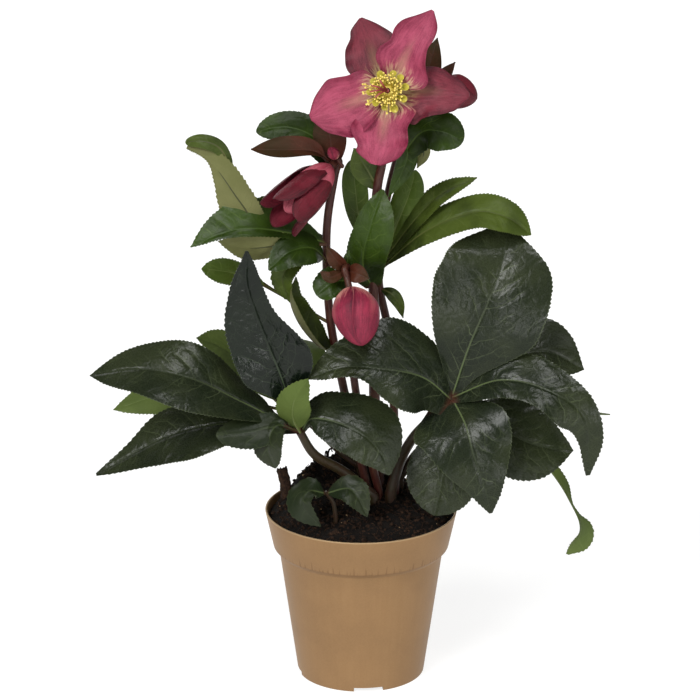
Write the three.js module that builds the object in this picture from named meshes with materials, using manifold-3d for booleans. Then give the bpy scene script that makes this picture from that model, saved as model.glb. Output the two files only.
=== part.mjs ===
// A hellebore in a 13 cm pot. Units are millimetres, +Z is up, the pot stands on Z = 0 with its
// axis on the Z axis, and the flower looks towards -Y. Points are [x, y, z].
import * as THREE from 'three';
import { mergeVertices } from 'three/addons/utils/BufferGeometryUtils.js';
import Module from 'manifold-3d';

const wasm = await Module();
wasm.setup();

// ---------------------------------------------------------------- driving dimensions
const GAP = 0.3; // left between pieces that rest on each other
const ROUND_SIDES = 36; // facets round the pot and the soil, the same so that they nest

const POT_RIM_RADIUS = 65;
const POT_HEIGHT = 117;
const POT_WALL = 1.4;
const POT_FLOOR = 2.8;
const COLLAR_FOOT = { radius: 59.4, z: 91.5 };
const BODY_TOP = { radius: 55.5, z: 88 };
const FOOT_RADIUS = 43;
const FOOT_CORNER = 1.5;
const NOTCH = { width: 20, height: 3, depth: 8, turn: 7 };
const NOTCH_COUNT = 4;

const SOIL_EDGE_Z = 112.5;
const SOIL_RISE = 10; // from the edge to the crown of the plant
const SOIL_LUMP = 1.5;
const SOIL_RINGS = 4;
// Heaps of peat at the back left and behind the stems.
const MOUNDS = [
  { centre: [-32, 36], spread: 18, height: 22 },
  { centre: [5, 38], spread: 16, height: 22 },
];
const HOLE_BOTTOM = 104; // the stalks reach down to here
const HOLE_RISE = 4; // a stalk stands straight up until it is this far over the peat
const HOLE_CLEARANCE = 0.7;
const HOLE_SPARE = 10; // over HOLE_RISE, so that a hole cuts right through the peat
const STRAIGHT_END = 7; // of a stalk, behind what it bears

const BLADE_THICKNESS = 0.8;
const MIDRIB_DEPTH = 1.2; // under the blade, at its base
const NECK_HALF_WIDTH = 1.2; // of the bare stalk between a leaflet and the leaf's centre
const BELLY = [0.9, 1]; // how fast a blade widens from its base and from its tip
const TOOTH = 1.5;
const TOOTHED_WIDTH = 15; // narrower blades have plain edges
const WIDE_BLADE = 38; // wider blades have more teeth
const CELLS = { narrow: 4, middling: 6, wide: 8 }; // of a blade from its base to its tip
const STALK_SIDES = 6;

// ---------------------------------------------------------------- materials
const MATERIALS = {
  gold: new THREE.MeshStandardMaterial({ color: 0xa07a52, roughness: 0.42, metalness: 0.35 }),
  peat: new THREE.MeshStandardMaterial({ color: 0x2a211b, roughness: 1, metalness: 0 }),
  leaf: new THREE.MeshStandardMaterial({ color: 0x27382b, roughness: 0.45, metalness: 0 }),
  fresh: new THREE.MeshStandardMaterial({ color: 0x4a6b2c, roughness: 0.5, metalness: 0 }),
  petal: new THREE.MeshStandardMaterial({ color: 0xb04a6a, roughness: 0.6, metalness: 0 }),
  nectary: new THREE.MeshStandardMaterial({ color: 0xa8a83a, roughness: 0.5, metalness: 0 }),
  stamen: new THREE.MeshStandardMaterial({ color: 0xe0d890, roughness: 0.7, metalness: 0 }),
  style: new THREE.MeshStandardMaterial({ color: 0x6b2036, roughness: 0.5, metalness: 0 }),
  bark: new THREE.MeshStandardMaterial({ color: 0x2b1d16, roughness: 0.9, metalness: 0 }),
};

// ---------------------------------------------------------------- bloom and buds
// Each sits on the end of a stalk, at base, and looks along the line from base to tip. A bud has
// closed petals laid round each other, and a half-open one has loose petals outside them.
const BLOOM = { base: [18, -15, 412], tip: [14, -43, 423] };
const BUD_LEFT = { base: [-20, -12, 361], tip: [-53, -46, 337], radius: 12, petals: 3, loose: 5 };
const BUD_CENTRE = { base: [-8, -28, 283], tip: [1, -50, 250], radius: 16.5, petals: 3, loose: 0 };
const BUD_RIGHT = { base: [51, 13, 409], tip: [76, 6, 402], radius: 12, petals: 4, loose: 0 };
const BUD_SMALL = { base: [-16, -14, 367], tip: [-21, -16, 375], radius: 4, petals: 3, loose: 0 };
const BUD_PROFILE = [
  [0.3, 0.02], [0.72, 0.14], [0.97, 0.32], [1, 0.46], [0.88, 0.65], [0.62, 0.83], [0.3, 0.95],
];
const BUD_OVERLAP = 0.12; // how far one closed petal's edge stands over the next, per radius
const BUD_TWIST = 0.12; // turns of a closed petal's edge from base to tip
const SIDES_PER_PETAL = 5;
const LOOSE_WIDTH = 2; // of a loose petal, per radius
const LOOSE_WAYS = [[0.2, 0.05], [0.95, 0.3], [1.25, 0.65], [1.4, 1]]; // out, up the bud's length
const LOOSE_TURN = 0.2; // radians that a loose petal is turned about its midrib

// The points of the bloom's petals are in its own frame: x to its right, y up its face and z out
// of the face, from its base.
const BLOOM_PETALS = [
  { rib: [[3, 5, 3], [16, 25, 8], [34, 49, 9]], left: [7, 12, 17, 18, 14.5, 15, 13, 7, 1],
    right: [9, 20, 22, 18, 14.5, 11, 11, 9, 1], fold: 12, curl: 6, wave: 3 },
  { rib: [[-3, 6, 2], [-9, 29, 0], [-14, 50, 3]], left: [7, 12, 18, 19.5, 18.5, 16, 11, 8.5, 1],
    right: [7, 12, 15, 16.5, 17, 16.5, 12.5, 7.5, 1], fold: 8, curl: 4, wave: 2 },
  { rib: [[-5, 0, 3], [-28, -5, 6], [-52, -12, 8]], left: [8, 14, 19, 22, 23.5, 22.5, 18.5, 13, 2],
    right: [9, 17, 18, 17, 17.5, 18.5, 15, 10, 2], fold: 6, curl: 8, wave: 2 },
  { rib: [[-1, -5, 3], [-6, -27, 5], [-12, -47, 9]], left: [9, 20, 19, 16, 17, 18, 17, 13, 4],
    right: [8, 13, 17, 20, 21, 19, 15, 14, 4], fold: 8, curl: 8, wave: 3 },
  { rib: [[5, 1, 2], [28, -2, -1], [52, -8, 3]], left: [7, 11, 14, 15.5, 16.3, 15, 11.5, 8.5, 2],
    right: [9, 20, 23.5, 19.5, 17.8, 16, 13.5, 10.5, 2], fold: 12, curl: 4, wave: 2 },
];
const RECEPTACLE = { foot: 3, radius: 8, middle: 3, top: 6 };
const STAMEN_COUNT = 28;
const NECTARY_COUNT = 10;
const TURN_STEP = 2.4; // radians from one stamen to the next, the golden angle

// ---------------------------------------------------------------- basal leaves
// A stalk stands in the soil at its foot and follows its points from there. A blade has the
// points of its midrib from the base to the tip, the directions that its upper face looks in
// from the base to the tip, its width, and, in degrees, the fold at the midrib and the curl from
// there to the margin, both towards the upper face. Skew makes the right half wider. A blade of
// its own outline has, in place of a width, the widths left and right of its midrib at even steps
// from the base to the tip.
const BASAL_LEAVES = {
  leaf_left: {
    stalks: [{ foot: [8, -4], points: [[-12, -10, 147], [-31, -18, 162], [-41, -22, 180]],
      radii: [4, 2.8] }],
    blades: [
      { rib: [[-42, -22, 181], [-78, -32, 204], [-112, -38, 223], [-146, -36, 229], [-180, -26, 221]],
        face: [[0.1, -0.6, 0.8]], width: 51, belly: [1.1, 1], neck: 0.06, fold: 10, curl: -14, wave: 2 },
      { rib: [[-41, -23, 181], [-54, -30, 224], [-63, -32, 248], [-75, -34, 285], [-75, -34, 310]],
        face: [[-0.1, -0.95, 0.1]], left: [2, 5, 22, 25, 25, 22, 12, 5, 1],
        right: [2, 5, 24, 28, 25, 14, 11, 8, 1], fold: 20, wave: 2 },
      { rib: [[-43, -21, 180], [-72, -16, 183], [-101, -10, 180], [-134, -4, 168], [-179, 0, 141]],
        face: [[-0.1, -0.6, 0.75]], left: [2, 6, 13, 17, 21, 25, 22, 12, 1],
        right: [2, 8, 14, 16, 17, 20, 20, 8, 1], fold: 12, curl: -12, wave: 2 },
      { rib: [[-42, -23, 180], [-54, -34, 189], [-74, -42, 187], [-96, -46, 186]],
        face: [[-0.3, -0.8, 0.5]], width: 23, belly: [0.6, 0.6], neck: 0.2, fold: 0, curl: -10 },
      { rib: [[-40, -23, 180], [-56, -38, 190], [-62, -44, 177], [-57, -44, 162]],
        face: [[-0.6, -0.7, 0.4]], width: 24, belly: [0.8, 0.8], neck: 0.2, fold: 6, curl: -10 },
      { rib: [[-40, -22, 179], [-45, -34, 194], [-44, -40, 209], [-35, -41, 224]],
        face: [[0.2, 0.9, 0.3]], width: 23, belly: [0.7, 0.9], neck: 0.1, fold: 10 },
      { rib: [[-40, -22, 180], [-33, -30, 192], [-17, -36, 192], [1, -41, 185], [13, -44, 173],
        [19, -45, 158]], face: [[0.1, -0.75, 0.65]], left: [2, 8, 19, 23, 27, 28, 23, 12, 1],
        right: [2, 4, 10, 15, 18, 17, 15, 10, 1], curl: -12, wave: 1 },
    ],
  },
  leaf_right: {
    stalks: [{ foot: [20, 0], points: [[26, 0, 150], [35, -6, 170], [47, -12, 186], [61, -18, 203]],
      radii: [4, 2.8] }],
    blades: [
      { rib: [[60, -18, 202], [71, -24, 240], [84, -22, 272], [93, -14, 296], [97, 0, 315]],
        face: [[-0.1, -0.95, 0.25]], left: [2, 12, 24, 34, 39, 38, 36, 30, 10],
        right: [2, 11, 27, 38.5, 40, 38, 33, 18, 4], fold: 8, curl: -14, wave: 2 },
      { rib: [[60, -19, 203], [92, -32, 220], [124, -42, 216], [148, -46, 197], [150, -44, 157]],
        face: [[-0.1, -0.7, 0.7], [0.2, -0.8, 0.5]], left: [8, 13, 15, 20, 18, 14, 10, 9, 2],
        right: [4, 10, 12, 13, 15, 18, 14, 6, 1], fold: 8, curl: -14, wave: 2 },
      { rib: [[61, -20, 202], [69, -40, 191], [74, -50, 174], [81, -54, 154], [86, -54, 134]],
        face: [[-0.1, -0.85, 0.5]], left: [8, 17, 27, 28, 26, 21, 14, 8, 1],
        right: [18, 33, 35, 31, 25, 19, 13, 7, 1], fold: 8, curl: -12, wave: 2 },
      { rib: [[60, -20, 202], [41, -30, 221], [16, -36, 229], [-11, -38, 231], [-35, -34, 222]],
        face: [[0, -0.75, 0.65]], left: [13, 18, 26, 27, 20, 10, 7, 5, 1],
        right: [8, 17, 28, 35, 36, 30, 21, 12, 1], fold: 6, curl: -12, wave: 2 },
      { rib: [[61, -16, 204], [93, -1, 221], [123, 9, 226], [150, 12, 212]],
        face: [[0.1, -0.7, 0.6]], width: 52, neck: 0.1, fold: 8, curl: -10, wave: 1 },
      { rib: [[62, -17, 201], [89, -18, 183], [116, -20, 170], [142, -18, 165]],
        face: [[0.1, -0.8, 0.5]], width: 56, neck: 0.1, fold: 6, curl: -10, wave: 1 },
      { rib: [[60, -16, 201], [58, -18, 176], [54, -26, 148], [49, -30, 123]],
        face: [[-0.2, -0.9, 0.3]], width: 48, belly: [0.9, 0.7], neck: 0.2, fold: 8, curl: -8, wave: 1 },
    ],
  },
  leaf_small: {
    stalks: [{ foot: [-17, -32], points: [[-19, -33, 134], [-24, -35, 142]], radii: [1.6, 1.3] }],
    blades: [
      { rib: [[-24, -35, 141], [-35, -42, 145], [-39, -48, 137], [-27, -50, 123]],
        face: [[-0.6, -0.6, 0.5]], width: 21, skew: 0.25, fold: 8, curl: -10 },
      { rib: [[-23, -35, 141], [-9, -42, 147], [-2, -47, 142], [4, -50, 130]],
        face: [[0.2, -0.7, 0.6]], width: 20, fold: 12, curl: -8 },
    ],
  },
  leaf_back_left: {
    stalks: [{ foot: [0, 20], points: [[-14, 21, 150], [-32, 21, 168], [-51, 20, 181]],
      radii: [3.2, 2.2] }],
    blades: [
      { rib: [[-51, 20, 180], [-89, 40, 181], [-132, 44, 183], [-169, 38, 174]],
        face: [[0, -0.5, 0.85]], width: 40, neck: 0.1, curl: -10, wave: 1 },
      { rib: [[-51, 20, 181], [-72, 26, 200], [-92, 28, 221], [-111, 26, 230]],
        face: [[0.5, -0.3, 0.7]], width: 40, neck: 0.1, fold: 12, curl: -10, wave: 1 },
      { rib: [[-51, 20, 181], [-72, 48, 194], [-96, 76, 196], [-118, 98, 184]],
        face: [[0, 0.4, 0.9]], width: 46, neck: 0.1, fold: 10, curl: -12, wave: 2 },
      { rib: [[-50, 21, 182], [-48, 46, 204], [-46, 74, 212], [-46, 100, 202]],
        face: [[0.2, 0.4, 0.9]], width: 44, neck: 0.1, fold: 10, curl: -12, wave: 2 },
    ],
  },
  leaf_back_right: {
    stalks: [{ foot: [26, 24], points: [[40, 24, 150], [62, 21, 164], [88, 18, 167], [108, 16, 166]],
      radii: [3.2, 2] }],
    blades: [
      { rib: [[107, 16, 166], [130, 14, 138], [142, 11, 119], [150, 8, 98], [141, 10, 79]],
        face: [[0.3, 0.9, 0.3], [0.9, 0.2, 0.3], [0.3, -0.9, 0.2]],
        left: [1, 1, 1.5, 2, 2, 4, 12, 10, 1], right: [1, 4, 8, 9, 5, 2, 3, 3, 1], fold: 10 },
      { rib: [[107, 16, 166], [134, 16, 178], [168, 10, 181]],
        face: [[0, 0.3, 0.9]], width: 26, neck: 0.1, fold: 12, curl: -8 },
      { rib: [[106, 17, 167], [124, 44, 176], [136, 74, 172], [140, 98, 158]],
        face: [[0, 0.3, 0.9]], width: 44, neck: 0.1, fold: 10, curl: -12, wave: 2 },
      { rib: [[105, 17, 167], [100, 44, 190], [92, 72, 198], [84, 100, 190]],
        face: [[0, 0.3, 0.9]], width: 46, neck: 0.1, fold: 10, curl: -12, wave: 2 },
    ],
  },
};

// ---------------------------------------------------------------- leafy flower stems
// A stalk that bears something ends at its base.
const STEMS = {
  stem_left: {
    stalks: [
      { foot: [4, 8], points: [[-5, 3, 172], [-12, 0, 204], [-21, -2, 255], [-23, -4, 312],
        [-18, -5, 351], [-15, -7, 362]], radii: [3, 2.6], bears: BUD_LEFT },
      { points: [[-17, -6, 354], [-14, -8, 360]], radii: [1.3, 1.3], bears: BUD_SMALL },
    ],
    blades: [
      { rib: [[-23, -4, 306], [-37, -8, 315], [-66, -16, 322], [-79, -20, 339], [-93, -20, 360],
        [-104, -16, 370], [-114, -12, 374]], face: [[0.3, 0.9, 0], [0.3, 0.9, -0.2], [0.2, 0.9, 0]],
        left: [1.5, 1.5, 2.5, 8, 10, 10.5, 8.5, 6, 3], right: [1.5, 1.5, 1.5, 6, 15, 8, 1.5, 1, 1],
        fold: 8 },
      { rib: [[-85, -18, 363], [-93, -19, 376], [-104, -18, 380], [-115, -14, 378]],
        face: [[0, -0.9, 0.3]], width: 10, belly: [0.4, 0.4], curl: -20 },
      { rib: [[-23, -6, 307], [-50, -18, 318], [-73, -26, 323], [-92, -28, 320], [-112, -26, 310]],
        face: [[0, -0.8, 0.6]], width: 26, skew: 0.6, wave: 1 },
      { rib: [[-22, -3, 308], [-41, 2, 317], [-57, 6, 326], [-70, 8, 333]],
        face: [[0, -0.8, 0.6]], width: 22, neck: 0.2, fold: 6 },
      { rib: [[-23, -6, 306], [-50, -16, 309], [-73, -20, 308], [-94, -22, 313]],
        face: [[0, 0.9, 0.3]], width: 22, neck: 0.15, fold: 6, wave: 1 },
      { rib: [[-21, -3, 250], [-51, 4, 266], [-71, 4, 278], [-88, 2, 284], [-106, 0, 287]],
        face: [[0.2, -0.7, 0.6]], width: 19, belly: [1.2, 0.8], neck: 0.4, fold: 8, curl: -10, wave: 1 },
      { rib: [[-22, -4, 293], [-32, -18, 307], [-47, -26, 307], [-61, -28, 295]],
        face: [[0, -0.7, 0.7]], width: 26, belly: [0.7, 0.8], neck: 0.1, fold: 8, curl: -14, wave: 1 },
      { rib: [[-22, -4, 296], [-40, -10, 298], [-52, -14, 286], [-47, -14, 268]],
        face: [[-0.3, -0.8, 0.3]], width: 16, neck: 0.2, fold: 10 },
      { rib: [[-18, -2, 230], [-29, -10, 238], [-41, -16, 255], [-47, -12, 271], [-43, -6, 283]],
        face: [[0.8, -0.2, 0.5]], width: 28, fold: 30, curl: 10 },
      { rib: [[-18, -5, 357], [-30, 2, 376], [-49, 2, 384], [-69, -2, 382]],
        face: [[0, -0.8, 0.6]], width: 24, belly: [0.6, 0.6], fold: 6, curl: -10, tooth: 0.5 },
      { rib: [[-17, -6, 358], [-30, -12, 371], [-52, -18, 374], [-72, -20, 375]],
        face: [[0, -0.5, 0.9], [0, -0.8, 0.4]], width: 19, tooth: 0, neck: 0.2, fold: 30, curl: 10 },
      { rib: [[-18, -4, 357], [-21, -2, 380], [-26, -2, 397]],
        face: [[0, -1, 0]], width: 22, tooth: 0, fold: 10 },
    ],
  },
  stem_centre: {
    stalks: [{ foot: [12, 4], points: [[2, -6, 172], [-4, -10, 207], [-8, -12, 247], [-9, -12, 279],
      [-9, -16, 293], [-11, -23, 294]], radii: [2.8, 2.2], bears: BUD_CENTRE }],
    blades: [
      { rib: [[-9, -13, 283], [-19, -20, 284], [-30, -22, 276]],
        face: [[0, -0.8, 0.5]], width: 20, belly: [0.7, 0.5], fold: 10, curl: -10, wave: 2 },
      { rib: [[-10, -18, 293], [-17, -24, 301], [-23, -24, 310]],
        face: [[0, -1, 0]], width: 11, fold: 20, curl: 10 },
      { rib: [[-10, -18, 292], [-20, -28, 290], [-27, -28, 294]],
        face: [[0, -0.9, 0.4]], width: 8, fold: 10 },
      { rib: [[-9, -18, 292], [-3, -26, 292], [5, -28, 289]],
        face: [[0, -1, 0.2]], width: 13, fold: 10 },
      { rib: [[-9, -16, 293], [-9, -20, 300], [-8, -20, 306]],
        face: [[0, -1, 0.2]], width: 6, fold: 10 },
    ],
  },
  stem_main: {
    stalks: [{ foot: [12, 16], points: [[9, 11, 191], [9, 8, 241], [8, 6, 284], [10, 3, 337],
      [14, 3, 361], [18, 0, 394]], radii: [4, 2.4], bears: BLOOM }],
    blades: [
      { rib: [[7, 6, 272], [1, -5, 294], [6, -9, 320], [14, -4, 343]],
        face: [[-0.2, -0.95, 0.2]], left: [4, 8, 10, 11, 11, 10, 9, 6, 1],
        right: [6, 11, 14, 16, 17, 17, 15, 10, 1], tooth: 0.6, fold: 12, curl: -10 },
      { rib: [[9, 5, 290], [-1, 9, 318], [-4, 10, 340], [-6, 8, 360]],
        face: [[-0.3, -0.9, 0.3]], width: 18, belly: [1, 0.6], tooth: 0, fold: 8 },
      { rib: [[9, 5, 308], [-4, 12, 323], [-11, 13, 331]],
        face: [[0, 0.9, 0.4]], width: 9, fold: 8 },
      { rib: [[12, 3, 340], [2, 2, 358], [-5, 0, 370]],
        face: [[0, -0.9, 0.4]], width: 20, tooth: 0, fold: 10, curl: -10 },
    ],
  },
  stem_right: {
    stalks: [{ foot: [23, 14], points: [[22, 18, 188], [18, 18, 238], [12, 17, 271], [13, 17, 303],
      [20, 16, 345], [32, 16, 385], [42, 15, 405]], radii: [3, 2.2], bears: BUD_RIGHT }],
    blades: [
      { rib: [[12, 16, 279], [23, 15, 311], [31, 15, 332], [36, 10, 352]],
        face: [[0, -0.9, 0.4]], width: 20, belly: [1, 0.6], tooth: 0, fold: 8, curl: -10 },
      { rib: [[12, 16, 283], [34, 10, 316], [53, 6, 337], [76, 0, 350]],
        face: [[-0.3, -0.6, 0.7]], width: 17, belly: [1, 0.9], fold: 12, curl: -8 },
      { rib: [[13, 16, 282], [42, 2, 312], [74, -6, 328], [96, -8, 325], [112, -8, 313]],
        face: [[0, -0.6, 0.75]], width: 28, belly: [1, 0.8], fold: 10, curl: -12, wave: 1 },
      { rib: [[13, 16, 268], [20, 11, 266], [25, 9, 260], [28, 8, 250]],
        face: [[0, -0.8, 0.5]], width: 9, fold: 8 },
      { rib: [[22, 16, 352], [38, 6, 378], [52, 2, 381], [67, 0, 375]],
        face: [[0, -0.8, 0.6]], width: 28, belly: [0.7, 0.5], fold: 6, curl: -10, wave: 2, tooth: 0.5 },
      { rib: [[27, 16, 380], [30, 9, 360], [18, 6, 335]],
        face: [[0.2, -0.9, 0.3]], width: 14, fold: 12 },
      { rib: [[30, 16, 382], [41, 14, 365], [37, 12, 353]],
        face: [[0, 0.9, 0.3]], width: 9, fold: 8 },
      { rib: [[36, 16, 394], [43, 22, 414], [50, 26, 438]],
        face: [[0, -1, 0.2]], width: 18, tooth: 0, fold: 8 },
      { rib: [[37, 17, 396], [52, 28, 409], [62, 32, 420]],
        face: [[0, -1, 0.2]], width: 10, fold: 8 },
    ],
  },
};

const STUB = { foot: [-51, 16], lean: [-3, 2], radius: 4.4, top: 140 };

// ---------------------------------------------------------------- geometry helpers
function toVector([x, y, z]) {
  return new THREE.Vector3(x, y, z);
}

function toManifold(geometry) {
  const bare = geometry.clone();
  bare.deleteAttribute('normal');
  bare.deleteAttribute('uv');
  const merged = mergeVertices(bare, 1e-4);
  return new wasm.Manifold(new wasm.Mesh({
    numProp: 3,
    vertProperties: new Float32Array(merged.attributes.position.array),
    triVerts: new Uint32Array(merged.index.array),
  }));
}

function toGeometry(solid) {
  const mesh = solid.getMesh();
  const geometry = new THREE.BufferGeometry();
  geometry.setAttribute('position', new THREE.BufferAttribute(mesh.vertProperties, mesh.numProp));
  geometry.setIndex(new THREE.BufferAttribute(mesh.triVerts, 1));
  return geometry;
}

function join(geometries) {
  return toGeometry(geometries.map(toManifold).reduce((whole, piece) => whole.add(piece)));
}

function fromTriangles(points, triangles) {
  const geometry = new THREE.BufferGeometry();
  const coordinates = points.flatMap((point) => point.toArray());
  geometry.setAttribute('position', new THREE.Float32BufferAttribute(coordinates, 3));
  geometry.setIndex(triangles.flat());
  return geometry;
}

// Closes an open sheet into a thin solid: the lower face repeats the upper one's triangles the
// other way round, and a band joins the two along the margin.
function closeSheet(upper, lower, triangles) {
  const edges = new Set(triangles.flatMap(([a, b, c]) => [`${a},${b}`, `${b},${c}`, `${c},${a}`]));
  const under = upper.length;
  const band = [];
  for (const edge of edges) {
    const [a, b] = edge.split(',').map(Number);
    if (!edges.has(`${b},${a}`)) {
      band.push([b, a, under + a], [b, under + a, under + b]);
    }
  }
  const lowerTriangles = triangles.map(([a, b, c]) => [under + a, under + c, under + b]);
  return fromTriangles([...upper, ...lower], [...triangles, ...lowerTriangles, ...band]);
}

// The direction at t along a list of directions that share out the blade's length evenly.
function directionAt(list, t) {
  const place = Math.min(t, 0.9999) * (list.length - 1);
  const index = Math.floor(place);
  const next = list[Math.min(index + 1, list.length - 1)];
  return toVector(list[index]).lerp(toVector(next), place - index);
}

// The value at t on a smooth curve through a list of values at even steps.
function valueAt(list, t) {
  const points = list.map((value) => new THREE.Vector3(value, 0, 0));
  return new THREE.CatmullRomCurve3(points, false, 'catmullrom', 0.5).getPoint(t).x;
}

// The width from the midrib to the margin on one side at t: by the blade's own list, or a bare
// neck first and then a swell that runs out to the tip.
function halfWidthAt(t, side, { left, right, width, belly: [p, q], neck, root, skew }) {
  if (left) {
    return valueAt(side < 0 ? left : right, t);
  }
  const share = THREE.MathUtils.clamp((t - neck) / (1 - neck), 0, 1);
  const peak = (p / (p + q)) ** p * (q / (p + q)) ** q;
  const swell = (share ** p * (1 - share) ** q) / peak;
  return Math.max((width / 2) * swell, root * (1 - share) + 0.5 * share) * (1 + side * skew);
}

// The cross section of a half blade at the fraction u of its half width: the way out from the
// midrib, the rise over it and the angle there.
function sectionAt(u, half, fold, curl) {
  const start = THREE.MathUtils.degToRad(fold);
  const bend = THREE.MathUtils.degToRad(curl);
  const angle = start + bend * u;
  if (bend === 0) {
    return { out: half * u * Math.cos(start), rise: half * u * Math.sin(start), angle };
  }
  return {
    out: (half * (Math.sin(angle) - Math.sin(start))) / bend,
    rise: (half * (Math.cos(start) - Math.cos(angle))) / bend,
    angle,
  };
}

// The points on the upper and the lower face of a blade at t, column wide from the midrib at 0
// to the margins at -1 and 1, and reach further out.
function bladePoints(shape, curve, t, column, reach) {
  const { face, fold, curl, wave, thickness, midrib } = shape;
  const side = Math.sign(column);
  const u = Math.abs(column);
  const half = halfWidthAt(t, side, shape) + reach;
  const { out, rise, angle } = sectionAt(u, half, fold, curl);
  const along = curve.getTangent(t);
  const up = directionAt(face, t);
  up.addScaledVector(along, -up.dot(along)).normalize();
  const across = new THREE.Vector3().crossVectors(along, up);
  const ripple = wave * u * u * Math.sin(Math.PI * (4 * t + 0.5 * side)) * Math.sin(Math.PI * t);
  const upper = curve.getPoint(t).addScaledVector(across, side * out).addScaledVector(up, rise + ripple);
  const depth = thickness + (u === 0 ? midrib * (1 - 0.8 * t) : 0);
  const lower = upper.clone().addScaledVector(up, -depth * Math.cos(angle));
  lower.addScaledVector(across, depth * side * Math.sin(angle));
  return [upper, lower];
}

function cellCount({ width, left }) {
  if (width < TOOTHED_WIDTH) {
    return CELLS.narrow;
  }
  return left || width > WIDE_BLADE ? CELLS.wide : CELLS.middling;
}

// A leaf, bract or petal: a thin closed sheet along its midrib, with one tooth per cell along
// either margin and a rib under the middle.
function blade(options) {
  const shape = {
    belly: BELLY, neck: 0, root: NECK_HALF_WIDTH, skew: 0, fold: 0, curl: 0, wave: 0,
    thickness: BLADE_THICKNESS, midrib: MIDRIB_DEPTH, cells: cellCount(options),
    tooth: options.width < TOOTHED_WIDTH ? 0 : TOOTH, columns: [-1, 0, 1], ...options,
  };
  const { neck, cells, tooth, columns } = shape;
  const curve = new THREE.CatmullRomCurve3(shape.rib.map(toVector), false, 'catmullrom', 0.5);
  const [upper, lower] = [[], []];
  const addPoint = (t, column, reach) => {
    const [above, below] = bladePoints(shape, curve, t, column, reach);
    upper.push(above);
    lower.push(below);
    return upper.length - 1;
  };
  const places = neck > 0 ? [0] : [];
  for (let i = 0; i <= cells; i += 1) {
    places.push(neck + ((1 - neck) * i) / cells);
  }
  const rows = places.map((t) => columns.map((column) => addPoint(t, column, 0)));
  const triangles = [];
  const last = columns.length - 1;
  for (let i = 0; i < rows.length - 1; i += 1) {
    const [near, far] = [rows[i], rows[i + 1]];
    const isToothed = tooth > 0 && places[i] >= neck;
    const toothPlace = 0.3 * places[i] + 0.7 * places[i + 1];
    for (let j = 0; j < last; j += 1) {
      const isMargin = j === 0 || j === last - 1;
      if (!isToothed || !isMargin) {
        triangles.push([near[j], near[j + 1], far[j + 1]], [near[j], far[j + 1], far[j]]);
      } else if (j === 0) {
        const peak = addPoint(toothPlace, -1, tooth);
        triangles.push([near[1], peak, near[0]], [near[1], far[1], peak], [far[1], far[0], peak]);
      } else {
        const peak = addPoint(toothPlace, 1, tooth);
        triangles.push([near[j], near[last], peak], [near[j], peak, far[j]], [far[j], peak, far[last]]);
      }
    }
  }
  return closeSheet(upper, lower, triangles);
}

// A smooth way through points, as a list of twice as many.
function smoothPath(points) {
  const curve = new THREE.CatmullRomCurve3(points.map(toVector), false, 'catmullrom', 0.5);
  return curve.getPoints(2 * (points.length - 1));
}

// A round stalk that tapers from the first radius to the last along a path.
function taperedTube(path, [first, last], sides = STALK_SIDES) {
  const rings = path.length - 1;
  const corners = [];
  let normal = new THREE.Vector3(1, 0, 0);
  path.forEach((centre, i) => {
    const along = path[Math.min(i + 1, rings)].clone().sub(path[Math.max(i - 1, 0)]).normalize();
    normal = normal.clone().addScaledVector(along, -normal.dot(along)).normalize();
    const sideways = new THREE.Vector3().crossVectors(along, normal);
    const radius = first + ((last - first) * i) / rings;
    for (let j = 0; j < sides; j += 1) {
      const angle = (2 * Math.PI * j) / sides;
      const corner = centre.clone().addScaledVector(normal, radius * Math.cos(angle));
      corners.push(corner.addScaledVector(sideways, radius * Math.sin(angle)));
    }
  });
  const at = (i, j) => i * sides + (j % sides);
  const triangles = [];
  for (let j = 0; j < sides; j += 1) {
    for (let i = 0; i < rings; i += 1) {
      triangles.push([at(i, j), at(i, j + 1), at(i + 1, j + 1)], [at(i, j), at(i + 1, j + 1), at(i + 1, j)]);
    }
    if (j > 0 && j < sides - 1) {
      triangles.push([0, at(0, j + 1), at(0, j)], [at(rings, 0), at(rings, j), at(rings, j + 1)]);
    }
  }
  return fromTriangles(corners, triangles);
}

// A solid turned about Z from a closed profile of [radius, z].
function turned(profile, sides) {
  const geometry = new THREE.LatheGeometry(profile.map(([r, z]) => new THREE.Vector2(r, z)), sides);
  return geometry.rotateX(Math.PI / 2);
}

// Moves what was made along +Z from the origin onto the line from base to tip.
function placeOn({ base, tip }, geometry) {
  const axis = toVector(tip).sub(toVector(base)).normalize();
  const turn = new THREE.Quaternion().setFromUnitVectors(new THREE.Vector3(0, 0, 1), axis);
  const place = new THREE.Matrix4().compose(toVector(base), turn, new THREE.Vector3(1, 1, 1));
  return geometry.applyMatrix4(place);
}

// ---------------------------------------------------------------- leaves and stems
// A stalk stands straight up out of its hole, and its last stretch runs straight on to what it
// bears.
function stalk({ foot, points, radii, bears }) {
  const bottom = foot ? [toVector([...foot, HOLE_BOTTOM])] : [];
  const start = foot ? [[...foot, holeTop(foot)]] : [];
  if (!bears) {
    return taperedTube([...bottom, ...smoothPath([...start, ...points])], radii);
  }
  const base = toVector(bears.base);
  const axis = toVector(bears.tip).sub(base).normalize();
  const turn = base.clone().addScaledVector(axis, -STRAIGHT_END);
  const end = base.clone().addScaledVector(axis, -GAP);
  return taperedTube([...bottom, ...smoothPath([...start, ...points, turn.toArray()]), end], radii);
}

function leafyStalks({ stalks, blades }) {
  return join([...stalks.map(stalk), ...blades.map(blade)]);
}

function stub() {
  const { foot: [x, y], lean, radius, top } = STUB;
  const points = [[x, y, HOLE_BOTTOM], [x, y, holeTop([x, y])], [x + lean[0], y + lean[1], top]];
  return taperedTube(points.map(toVector), [radius, 0.8 * radius]);
}

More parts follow.
